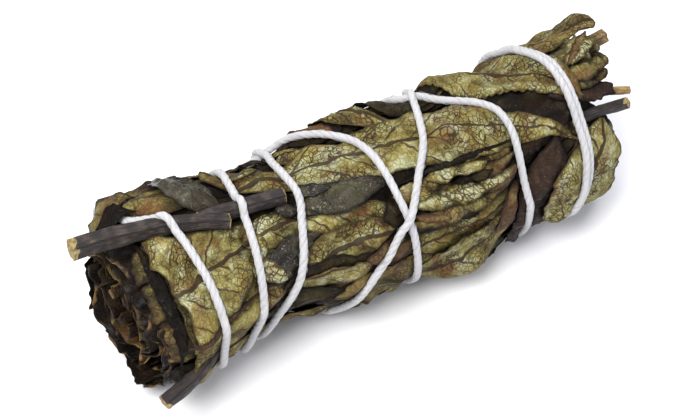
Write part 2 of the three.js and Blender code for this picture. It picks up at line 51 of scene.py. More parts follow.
WAISTS = [(-22, 1.9, 9), (33, 1.1, 7)]
SWAYS = [(-30, 1.1, 1.1, 13), (24, -0.5, -0.5, 12)]
MM_PER_DEGREE = 0.314
HALF_BODY = 46.0
CUT_TAPER = 0.42
TIP_TAPER = 0.1

# Leaf layers. A swelling or dip of the core has its x and angle, how far it reaches along both, and a height.
CORE_DEPTH = 1.9
CORE_FLAT = 2.6
CORE_ROUGHNESS = 0.35
SWELLINGS = [(2, 122, 26, 24, -0.8), (-38, -25, 12, 28, 0.7), (33, -52, 7, 26, -1.7)]
LEAF_MIDDLE = 0.36
LEAF_MARGIN = 0.14
LEAF_CLEARANCE = 0.04
LEAF_STEP = 0.5
FLOOR_CLEARANCE = 0.12
CRENATE_PITCH = 1.7
CRENATE_DEPTH = 0.22
DRAPE_PASSES = 26
BASE_LIFT_REACH = 5.5
TIP_LIFT_REACH = 13
RIB_WIDTH = 7.0
SIDE_PIECE_SHIFT = 2.6
# How much darker each leaf's bottom face is painted, as painted shade
UNDERSIDE_PAINTED_SHADE = 0.45
CURL_WIDTH = 2.2
CURL_ANGLES = (25, 25)
# How much ridges are painted paler and hollows darker, partly wear and partly painted light and shade
RIDGE_LIGHT_AND_WEAR = 0.1
# How dark the creases of a leaf's relief are painted, as painted shade
CREASE_PAINTED_SHADE = 0.8
# How far round a leaf the heights that set its painted shade are taken
SHADE_REACH = 5

# Side veins of a leaf: their spacing, and how they lean and bend towards its tip
VEIN_SPACING = 5.6
VEIN_SLANT = 0.95
VEIN_BEND = 0.03
VEIN_OFFSET = 0.43
VEIN_LEAN = 0.72

# Stems
STEM_STEP = 0.5
STEM_SIDES = 28
STEM_SINK = 0.35
STEM_PRESS = 3.0
STEM_PRESS_WIDTH = 3.4
STEM_COVER_WIDTH = 2.6
END_BULGE = 0.3
END_WEAR = 0.22
END_WEAR_REACH = 1.2
HOLLOW_DEPTH = 1.3
CHIP_LENGTH = 3.0

# The string: its plies, how it dips between its supports, and how it lies on itself where it crosses
STRING_RADIUS = 0.77
PLY_RADIUS = 0.63
PLY_OFFSET = 0.14
PLY_FLOOR = 0.69
PLY_PITCH = 5.2
STRING_STEP = 0.33
STRING_SIDES = 20
STRING_BITE = 0.75
DEEPEST_BITE = 2.2
BITE_WIDTH = 2.3
LONG_SPAN = 12
SHORT_SPAN = 4
DIP_LIMIT = 0.45
STACK_REACH = 1.38
STACK_MARGIN = 1.06
STACK_RADIUS = 18
CROSSING_GAP = 20
DOWNWARD = 0.2
KNOT_SIZE = 0.62
KNOT_PLACE = (-47.3, 271.0)
KNOT_RISE = 0.9
FIBRE_COUNT = 1300
FIBRE_RADIUS = 0.024

# The photograph's view
CAMERA_TURN = -32.4
CAMERA_HEIGHT = 43.3
CAMERA_DISTANCE = 328.6
CAMERA_TARGET = (0.0, -0.6, 18.7)
LENS = 85.0
PHOTO_WIDTH = 700
TARGET_PIXEL = (360, 207)
PHOTO_MIDDLE = (350, 210)

# Lamps: turn, height, distance, size, power and colour
LAMPS = {
    "key": (-60, 55, 0.55, 0.30, 4.2, (1.0, 0.98, 0.95)),
    "fill": (35, 35, 0.60, 0.45, 1.2, (0.95, 0.97, 1.0)),
    "above": (150, 65, 0.60, 0.40, 2.0, (1.0, 1.0, 1.0)),
}
ROOM_COLOUR = (0.92, 0.94, 1.0, 1.0)
ROOM_STRENGTH = 0.42


def hump(x, middle, width):
    return np.exp(-(((x - middle) / width) ** 2))


def axis_height(x):
    return AXIS_HEIGHT + sum(up * hump(x, at, width) for at, up, back, width in SWAYS)


def axis_back(x):
    return AXIS_BACK + sum(back * hump(x, at, width) for at, up, back, width in SWAYS)


def bundle_radius(x):
    return BUNDLE_RADIUS - sum(depth * hump(x, at, width) for at, depth, width in WAISTS)


def place(x, angle, radius):
    """The point in space of a place on the bundle, with angle in degrees."""
    turn = np.radians(angle)
    y = axis_back(x) - radius * np.sin(turn)
    z = axis_height(x) + radius * np.cos(turn)
    return np.stack(np.broadcast_arrays(x, y, z), axis=-1)


def smooth_step(low, high, value):
    share = np.clip((value - low) / (high - low), 0, 1)
    return share * share * (3 - 2 * share)


# Smooth noise from a hashed lattice
def lattice(ix, iy, seed):
    mixed = (ix * 73856093) ^ (iy * 19349663) ^ (seed * 83492791 + 1013)
    mixed = ((mixed ^ (mixed >> 13)) * 1274126177) & 0x7FFFFFFF
    mixed = ((mixed ^ (mixed >> 15)) * 668265263) & 0x7FFFFFFF
    return ((mixed >> 8) & 0xFFFF) / 32767.5 - 1


def noise(x, y, seed):
    """Value noise from -1 to 1 with a lattice of one unit."""
    x, y = np.broadcast_arrays(np.asarray(x, float), np.asarray(y, float))
    ix = np.floor(x).astype(np.int64)
    iy = np.floor(y).astype(np.int64)
    fx = x - ix
    fy = y - iy
    fx = fx * fx * (3 - 2 * fx)
    fy = fy * fy * (3 - 2 * fy)
    low = lattice(ix, iy, seed) * (1 - fx) + lattice(ix + 1, iy, seed) * fx
    high = lattice(ix, iy + 1, seed) * (1 - fx) + lattice(ix + 1, iy + 1, seed) * fx
    return low * (1 - fy) + high * fy


def fractal(x, y, seed, octaves=3):
    total = 0
    for octave in range(octaves):
        scale = 2.03**octave
        total = total + noise(x * scale, y * scale, seed + 17 * octave) / 1.9**octave
    return total


def creases(x, y, seed):
    """From 0 to 1, with sharp ridges where the noise passes through zero."""
    return (1 - np.abs(fractal(x, y, seed, 2)).clip(0, 1)) ** 2


# The height map: the outer radius of what is laid so far, over x and angle
MAP_STEP_X = 0.3
MAP_STEP_ANGLE = 0.9
MAP_X = np.arange(-66, 66 + MAP_STEP_X, MAP_STEP_X)
MAP_ANGLES = np.arange(0, 360, MAP_STEP_ANGLE)


def core_radius(x, angle):
    """The dark inner leaves' outer surface, flattened where the bundle lies."""
    radius = bundle_radius(x) - CORE_DEPTH
    radius = radius + CORE_ROUGHNESS * fractal(x / 9, angle / 22, 5)
    down = np.clip(-np.cos(np.radians(angle)), 0.2, None)
    radius = np.minimum(radius, (axis_height(x) - CORE_FLAT) / down)
    for at_x, at_angle, reach_x, reach_angle, height in SWELLINGS:
        away = (angle - at_angle + 180) % 360 - 180
        radius = radius + height * hump(away, 0, reach_angle) * hump(x, at_x, reach_x)
    cut_side = np.clip(-x - HALF_BODY, 0, None)
    tip_side = np.clip(x - HALF_BODY, 0, None)
    return radius - cut_side * CUT_TAPER - tip_side * TIP_TAPER


heights = core_radius(MAP_X[:, None], MAP_ANGLES[None, :])


def sample(field, x, angle):
    """The field's value at places on the bundle, between its points."""
    column = np.clip((x - MAP_X[0]) / MAP_STEP_X, 0, len(MAP_X) - 1.001)
    row = (angle % 360) / MAP_STEP_ANGLE
    i = np.floor(column).astype(int)
    j = np.floor(row).astype(int) % len(MAP_ANGLES)
    k = (j + 1) % len(MAP_ANGLES)
    fx = column - i
    fy = row - np.floor(row)
    low = field[i, j] * (1 - fx) + field[i + 1, j] * fx
    high = field[i, k] * (1 - fx) + field[i + 1, k] * fx
    return low * (1 - fy) + high * fy


def stamp(field, x, angle, top):
    """Raises a height map to the top of a grid of points."""
    rows, columns = x.shape
    fine_i = np.linspace(0, rows - 1, (rows - 1) * 3 + 1)
    fine_j = np.linspace(0, columns - 1, (columns - 1) * 3 + 1)
    i = np.minimum(fine_i.astype(int), rows - 2)
    j = np.minimum(fine_j.astype(int), columns - 2)
    fi = (fine_i - i)[:, None]
    fj = (fine_j - j)[None, :]

    def between(grid):
        low = grid[np.ix_(i, j)] * (1 - fi) + grid[np.ix_(i + 1, j)] * fi
        high = grid[np.ix_(i, j + 1)] * (1 - fi) + grid[np.ix_(i + 1, j + 1)] * fi
        return low * (1 - fj) + high * fj

    column = np.round((between(x) - MAP_X[0]) / MAP_STEP_X).astype(int)
    row = np.round(between(angle) / MAP_STEP_ANGLE).astype(int) % len(MAP_ANGLES)
    inside = (column >= 0) & (column < len(MAP_X))
    np.maximum.at(field, (column[inside], row[inside]), between(top)[inside])


def press_field(places_x, places_angle, depths, width):
    """How far a string or stem pulls the leaves in, over the map."""
    field = np.zeros_like(heights)
    reach_x = int(3 * width / MAP_STEP_X)
    reach_angle = int(3 * width / MM_PER_DEGREE / MAP_STEP_ANGLE)
    offsets_x = np.arange(-reach_x, reach_x + 1)
    offsets_angle = np.arange(-reach_angle, reach_angle + 1)
    for x, angle, depth in zip(places_x, places_angle, depths):
        column = int(round((x - MAP_X[0]) / MAP_STEP_X))
        row = int(round(angle / MAP_STEP_ANGLE))
        columns = np.clip(column + offsets_x, 0, len(MAP_X) - 1)
        rows = (row + offsets_angle) % len(MAP_ANGLES)
        dx = MAP_X[columns][:, None] - x
        away = ((row + offsets_angle) * MAP_STEP_ANGLE - angle) * MM_PER_DEGREE
        pull = depth * np.exp(-((dx**2 + away[None, :] ** 2) / width**2))
        window = np.ix_(columns, rows)
        field[window] = np.maximum(field[window], pull)
    return field


def blurred(field, spread):
    """The field smoothed both ways, with a spread in its own steps."""
    reach = int(spread * 2.5)
    weights = np.exp(-((np.arange(-reach, reach + 1) / spread) ** 2) / 2)
    weights /= weights.sum()
    for axis in (1, 0):
        shifts = range(-reach, reach + 1)
        field = sum(weight * np.roll(field, shift, axis=axis) for weight, shift in zip(weights, shifts))
    return field


def lengths_along(points):
    """How far each point of a path is along it."""
    return np.concatenate([[0], np.cumsum(np.linalg.norm(np.diff(points, axis=0), axis=1))])


def spline(points, step):
    """Even steps along a smooth curve through points, in two or three dimensions."""
    points = np.array(points, float)
    at = lengths_along(points)
    slopes = (points[2:] - points[:-2]) / (at[2:] - at[:-2])[:, None]
    first = (points[1] - points[0]) / (at[1] - at[0])
    last = (points[-1] - points[-2]) / (at[-1] - at[-2])
    slopes = np.concatenate([[first], slopes, [last]])
    shares = np.linspace(0, 1, 24, endpoint=False)[:, None]
    pieces = []
    for index, gap in enumerate(np.diff(at)):
        b, c = points[index], points[index + 1]
        out, into = slopes[index] * gap, slopes[index + 1] * gap
        square = 3 * (c - b) - 2 * out - into
        cube = 2 * (b - c) + out + into
        pieces.append(b + out * shares + square * shares**2 + cube * shares**3)
    dense = np.concatenate(pieces + [points[-1:]])
    lengths = lengths_along(dense)
    places = np.linspace(0, lengths[-1], int(lengths[-1] / step) + 1)
    return np.stack([np.interp(places, lengths, column) for column in dense.T], axis=1)


def soften(values, spread):
    """A row of values smoothed, with the spread in steps."""
    reach = int(spread * 3)
    weights = np.exp(-((np.arange(-reach, reach + 1) / spread) ** 2) / 2)
    padded = np.pad(values, reach, mode="edge")
    return np.convolve(padded, weights / weights.sum(), mode="valid")


def rings_round(middle, side_a, side_b, turn, radius):
    """Points at a turn and radius round each point of a path."""
    out = side_a[:, None, :] * np.cos(turn)[..., None] + side_b[:, None, :] * np.sin(turn)[..., None]
    return middle[:, None, :] + radius[..., None] * out


def tube_frames(path):
    """Unit side vectors along a path that turn with it as little as they can."""
    run = np.gradient(path, axis=0)
    run /= np.linalg.norm(run, axis=1, keepdims=True)
    side = np.cross(run[0], [0.3, 0.5, 0.8])
    sides = []
    for tangent in run:
        side = side - tangent * np.dot(side, tangent)
        side = side / np.linalg.norm(side)
        sides.append(side)
    sides = np.array(sides)
    return run, sides, np.cross(run, sides)


# Meshes
def new_object(name, points, faces, attributes, material):
    mesh = bpy.data.meshes.new(name)
    mesh.from_pydata((points * MM).tolist(), [], faces)
    mesh.polygons.foreach_set("use_smooth", [True] * len(mesh.polygons))
    for label, values in attributes.items():
        layer = mesh.attributes.new(label, "FLOAT_VECTOR", "POINT")
        layer.data.foreach_set("vector", np.asarray(values, float).reshape(-1))
    mesh.materials.append(material)
    mesh.validate()
    piece = bpy.data.objects.new(name, mesh)
    bpy.context.scene.collection.objects.link(piece)
    return piece


def grid_faces(rows, columns, start=0, flip=False, closed=False):
    """Quads over a grid of points; closed joins the last column to the first."""
    wide = columns if closed else columns - 1
    i = np.arange(rows - 1)[:, None]
    j = np.arange(wide)[None, :]
    nxt = (j + 1) % columns
    quads = [i * columns + j, i * columns + nxt, (i + 1) * columns + nxt, (i + 1) * columns + j]
    if flip:
        quads.reverse()
    return (np.stack(np.broadcast_arrays(*quads), axis=-1).reshape(-1, 4) + start).tolist()


def capped_tube_faces(count, sides):
    """The faces of a tube of rings, closed at both ends."""
    faces = grid_faces(count, sides, flip=True, closed=True)
    faces.append(list(range(sides)))
    faces.append([(count - 1) * sides + j for j in reversed(range(sides))])
    return faces


def grid_normals(points):
    along = np.gradient(points, axis=0)
    across = np.gradient(points, axis=1)
    normal = np.cross(across, along)
    return normal / np.maximum(np.linalg.norm(normal, axis=-1, keepdims=True), 1e-9)


def shell(points, thickness, leaf_place, leaf_edge, outward=None):
    """A thin closed sheet round a grid of middle points: its points, faces and shader places."""
    normal = grid_normals(points)
    turned = outward is not None and np.sum(normal * outward, axis=-1).mean() < 0
    normal = -normal if turned else normal
    half = thickness[..., None] / 2
    top = points + normal * half
    bottom = points - normal * half
    rows, columns = thickness.shape
    count = rows * columns
    faces = grid_faces(rows, columns, 0, flip=turned)
    faces += grid_faces(rows, columns, count, flip=not turned)
    rim = [i * columns for i in range(rows)]
    rim += [(rows - 1) * columns + j for j in range(1, columns)]
    rim += [i * columns + columns - 1 for i in range(rows - 2, -1, -1)]
    rim += [j for j in range(columns - 2, 0, -1)]
    for a, b in zip(rim, rim[1:] + rim[:1]):
        quad = [a, b, b + count, a + count]
        faces.append(quad[::-1] if turned else quad)
    both = np.concatenate([top.reshape(-1, 3), bottom.reshape(-1, 3)])
    places = np.concatenate([leaf_place.reshape(-1, 3)] * 2)
    upper = leaf_edge.reshape(-1, 3)
    # The bottom face is painted darker, as painted shade
    lower = upper * np.array([1, UNDERSIDE_PAINTED_SHADE, 1])
    return both, faces, {"leaf_place": places, "leaf_edge": np.concatenate([upper, lower])}


def join(parts):
    """Several meshes' points, faces and attributes as one."""
    points, faces, start = [], [], 0
    labels = {}
    for part_points, part_faces, attributes in parts:
        points.append(part_points)
        faces += [[index + start for index in face] for face in part_faces]
        start += len(part_points)
        for label, values in attributes.items():
            labels.setdefault(label, []).append(values)
    return np.concatenate(points), faces, {label: np.concatenate(rows) for label, rows in labels.items()}


# Shader nodes
def linear(red, green, blue):
    """A colour as the eye names it, from 0 to 255, as Blender's linear values."""
    parts = []
    for value in (red, green, blue):
        share = value / 255
        parts.append(share / 12.92 if share <= 0.04045 else ((share + 0.055) / 1.055) ** 2.4)
    return (*parts, 1.0)


class Graph:
    """Short calls for making a material's nodes."""

    def __init__(self, name):
        self.material = bpy.data.materials.new(name)
        self.material.use_nodes = True
        self.nodes = self.material.node_tree.nodes
        self.links = self.material.node_tree.links
        self.shader = self.nodes["Principled BSDF"]

    def put(self, socket, value):
        if isinstance(value, bpy.types.NodeSocket):
            self.links.new(value, socket)
        elif value is not None:
            socket.default_value = value

    def node(self, kind, values, **settings):
        """The outputs of a new node, with its settings made and its inputs filled by name or number."""
        node = self.nodes.new("ShaderNode" + kind)
        for name, setting in settings.items():
            setattr(node, name, setting)
        for key, value in values.items():
            self.put(node.inputs[key], value)
        return node.outputs

    def attribute(self, name):
        return self.node("Attribute", {}, attribute_name=name)["Vector"]

    def split(self, vector):
        return tuple(self.node("SeparateXYZ", {0: vector}))

    def vector(self, x, y, z):
        return self.node("CombineXYZ", {0: x, 1: y, 2: z})[0]

    def math(self, operation, a, b=None, c=None, clamp=False):
        return self.node("Math", {0: a, 1: b, 2: c}, operation=operation, use_clamp=clamp)[0]

    def times(self, a, b):
        return self.math("MULTIPLY", a, b)

    def plus(self, a, b):
        return self.math("ADD", a, b)

    def minus(self, a, b, clamp=False):
        return self.math("SUBTRACT", a, b, clamp=clamp)

    def scaled(self, value, factor, offset):
        return self.math("MULTIPLY_ADD", value, factor, offset)

    def vector_math(self, operation, a, b=None, scale=None):
        return self.node("VectorMath", {0: a, 1: b, 3: scale}, operation=operation)[0]

    def step(self, value, low, high, to_low=0.0, to_high=1.0):
        values = {"Value": value, "From Min": low, "From Max": high, "To Min": to_low, "To Max": to_high}
        return self.node("MapRange", values, interpolation_type="SMOOTHSTEP")["Result"]

    def noise(self, vector, scale, detail=3.0, roughness=0.55, output="Fac"):
        values = {"Vector": vector, "Scale": scale, "Detail": detail, "Roughness": roughness}
        return self.node("TexNoise", values)[output]

    def cell_edges(self, vector, scale):
        values = {"Vector": vector, "Scale": scale, "Randomness": 0.95}
        return self.node("TexVoronoi", values, feature="DISTANCE_TO_EDGE")["Distance"]

    def ramp(self, value, stops):
        node = self.nodes.new("ShaderNodeValToRGB")
        elements = node.color_ramp.elements
        while len(elements) < len(stops):
            elements.new(0.5)
        for element, (at, colour) in zip(elements, stops):
            element.position = at
            element.color = colour
        self.put(node.inputs[0], value)
        return node.outputs["Color"]

    def mix(self, share, a, b, blend="MIX"):
        node = self.nodes.new("ShaderNodeMix")
        node.data_type = "RGBA"
        node.blend_type = blend
        sockets = [socket for socket in node.inputs if socket.type == "RGBA"]
        self.put(node.inputs["Factor"], share)
        self.put(sockets[0], a)
        self.put(sockets[1], b)
        return [socket for socket in node.outputs if socket.type == "RGBA"][0]

    def bump(self, height, distance):
        return self.node("Bump", {"Height": height, "Distance": distance, "Strength": 1.0})["Normal"]

    def finish(self, **values):
        for name, value in values.items():
            self.put(self.shader.inputs[name.replace("_", " ")], value)
        return self.material


# Bump depths in metres
LEAF_BUMP = 0.00018
BARK_BUMP = 0.00028
STRING_BUMP = 0.00018


def leaf_material(name, stops, blush, vein, rim, gloss, net_share, wet=0.0, rim_from=0.3, shine=0.14,
                  second_tint=linear(150, 134, 62), painted_glints=0.0):
    """Dried leaf: mottled ground, midrib, slanted veins and a fine net between them, darker margins, painted
    shade from the leaf's shade channel, and painted glints where asked for.
    """
    g = Graph(name)
    where = g.attribute("leaf_place")
    # The second channel is painted shade: 1 where the leaf is fully lit, lower where it is shaded
    edge, upper, tone = g.split(g.attribute("leaf_edge"))
    along = g.split(where)[0]
    sway = g.noise(where, 0.32, 2.0, 0.5, output="Color")
    sway = g.vector_math("SUBTRACT", sway, (0.5, 0.5, 0.5))
    swayed = g.vector_math("ADD", where, g.vector_math("SCALE", sway, scale=2.1))
    along_swayed, across_swayed, _ = g.split(swayed)
    side = g.math("ABSOLUTE", across_swayed)
    below = g.math("GREATER_THAN", across_swayed, 0.0)

    # The midrib, the side veins and the net between them
    rib_width = g.scaled(along, -0.006, 0.62)
    rib = g.minus(1.0, g.math("DIVIDE", side, g.math("MAXIMUM", rib_width, 0.16)), clamp=True)
    rib = g.step(rib, 0.0, 0.45)
    slanted = g.minus(along_swayed, g.times(side, VEIN_SLANT))
    slanted = g.minus(slanted, g.times(g.times(side, side), VEIN_BEND))
    phase = g.scaled(slanted, 1 / VEIN_SPACING, g.times(below, VEIN_OFFSET))
    off = g.math("ABSOLUTE", g.minus(g.math("FRACT", phase), 0.5))
    second = g.step(g.times(off, VEIN_SPACING * VEIN_LEAN), 0.34, 0.08)
    second = g.times(second, g.step(g.noise(where, 0.23, 1.0), 0.36, 0.58, 0.35, 1.0))
    net = g.step(g.cell_edges(swayed, 0.98), 0.12, 0.03)
    fine = g.step(g.cell_edges(swayed, 2.3), 0.13, 0.02)
    patchy = g.step(g.noise(where, 0.16, 2.0), 0.38, 0.60, 0.45, 1.0)
    net = g.times(net, patchy)
    fine = g.times(g.times(fine, patchy), 0.55)
    lines = g.math("MAXIMUM", g.math("MAXIMUM", rib, second), g.math("MAXIMUM", net, fine))

    # The ground colour, then the veins and the margins over it
    mottle = g.noise(where, 0.30, 5.0, 0.62)
    # The tone channel shifts the ground: a random tone per leaf, and paler on ridges and darker in hollows,
    # partly wear and partly painted light and shade
    mottle = g.plus(mottle, g.scaled(tone, 0.5, -0.25))
    ground = g.ramp(mottle, stops)
    warm = g.step(g.noise(g.vector_math("ADD", where, (31.0, 7.0, 3.0)), 0.14, 3.0, 0.65), 0.47, 0.70)
    ground = g.mix(g.times(warm, 0.72), ground, blush)
    tint = g.step(g.noise(g.vector_math("ADD", where, (5.0, 41.0, 9.0)), 0.11, 2.0, 0.5), 0.42, 0.66)
    ground = g.mix(g.times(tint, 0.35), ground, second_tint)
    # Painted glints: small pale flecks in the colour that stand in for highlights on wet bumps
    if painted_glints:
        glint_mask = g.step(g.noise(where, 1.9, 3.0, 0.7), 0.57, 0.68)
        glint_mask = g.times(glint_mask, g.step(g.noise(where, 0.25, 2.0), 0.42, 0.56))
        ground = g.mix(g.times(glint_mask, painted_glints), ground, linear(168, 170, 168))
    grain = g.step(g.noise(where, 3.2, 2.0, 0.6), 0.3, 0.75, 0.78, 1.12)
    ground = g.mix(1.0, ground, g.vector(grain, grain, grain), "MULTIPLY")
    ground = g.mix(g.times(lines, net_share), ground, vein)
    margin = g.plus(edge, g.scaled(g.noise(where, 0.9, 3.0), 1.6, -0.8))
    worn = g.step(g.noise(where, 0.21, 2.0), rim_from, rim_from + 0.12, 0.0, 0.85)
    ground = g.mix(g.times(g.step(margin, 0.75, 0.1), worn), ground, rim)
    # Painted shade: the colour goes towards black where the shade channel is low, in hollows, creases and on
    # the bottom face
    ground = g.mix(g.scaled(upper, -0.9, 0.9), ground, BLACKISH)

    # Fine relief and gloss
    relief = g.scaled(lines, 0.6, g.times(g.noise(where, 1.6, 5.0, 0.62), 1.1))
    normal = g.bump(relief, LEAF_BUMP)
    spread = g.step(g.noise(where, 0.8, 3.0), 0.3, 0.7, gloss[0], gloss[1])
    return g.finish(
        Base_Color=ground, Roughness=spread, Normal=normal, Coat_Weight=wet, Coat_Roughness=0.22,
        Specular_IOR_Level=shine
    )


OLIVE_DARK = linear(62, 52, 28)
OLIVE = linear(106, 95, 52)
YELLOW_OLIVE = linear(140, 133, 80)
PALE = linear(176, 178, 142)
BROWN = linear(42, 27, 20)
REDDISH = linear(104, 66, 38)
BLACKISH = linear(17, 14, 12)
GREEN_DARK = linear(62, 61, 38)
PURPLISH = linear(56, 41, 39)

MATERIALS = {
    "pale": leaf_material(
        "sage_leaf_pale", [(0.32, OLIVE_DARK), (0.43, OLIVE), (0.54, YELLOW_OLIVE), (0.68, PALE)],
        REDDISH, linear(38, 24, 16), OLIVE_DARK, (0.55, 0.85), 0.94
    ),
    "olive": leaf_material(
        "sage_leaf_olive", [(0.28, BROWN), (0.44, OLIVE_DARK), (0.58, OLIVE), (0.78, YELLOW_OLIVE)],
        REDDISH, BLACKISH, BROWN, (0.45, 0.8), 0.75, second_tint=linear(104, 86, 40)
    ),
    "dark": leaf_material(
        "sage_leaf_dark",
        [(0.3, BLACKISH), (0.48, linear(27, 23, 17)), (0.62, linear(52, 46, 31)), (0.8, GREEN_DARK)],
        BROWN, BLACKISH, BLACKISH, (0.3, 0.65), 0.5, shine=0.05, second_tint=linear(66, 58, 28), painted_glints=0.1
    ),
    "glossy": leaf_material(
        "sage_leaf_glossy",
        [(0.3, BLACKISH), (0.48, linear(34, 30, 23)), (0.62, linear(62, 56, 40)), (0.8, GREEN_DARK)],
        BROWN, BLACKISH, BLACKISH, (0.2, 0.5), 0.5, wet=0.12, shine=0.2,
        second_tint=linear(70, 64, 30), painted_glints=0.65
    ),
    "purple": leaf_material(
        "sage_leaf_purple", [(0.3, linear(28, 20, 19)), (0.5, linear(43, 32, 30)), (0.75, PURPLISH)],
        BROWN, BLACKISH, BLACKISH, (0.4, 0.7), 0.5, shine=0.07,
        second_tint=linear(76, 60, 40), painted_glints=0.12
    ),
    "russet": leaf_material(
        "sage_leaf_russet",
        [(0.3, BROWN), (0.46, linear(74, 52, 34)), (0.62, linear(108, 84, 52)), (0.82, YELLOW_OLIVE)],
        linear(92, 58, 38), BROWN, BROWN, (0.5, 0.8), 0.7, shine=0.12, second_tint=linear(104, 90, 50)
    ),
}


# The leaves, from the lowest layer to the top one. A leaf has the places of its base, middle and tip as x and
# angle, then its width and colour. A cut leaf starts part of the way along its outline.
def leaf(name, base, via, tip, width, colour, cut=0.0, extra=False, **looks):
    return dict(
        name=name, base=base, via=via, tip=tip, width=width, colour=colour, cut=cut, extra=extra, looks=looks
    )


def fold(base, via, tip, width, colour, **looks):
    """A small leaf of the scene's own, among those of the CAD model. Some dark ones are strips of painted
    shade in gaps and creases.
    """
    return leaf("fold", base, via, tip, width, colour, 0.0, True, **looks)


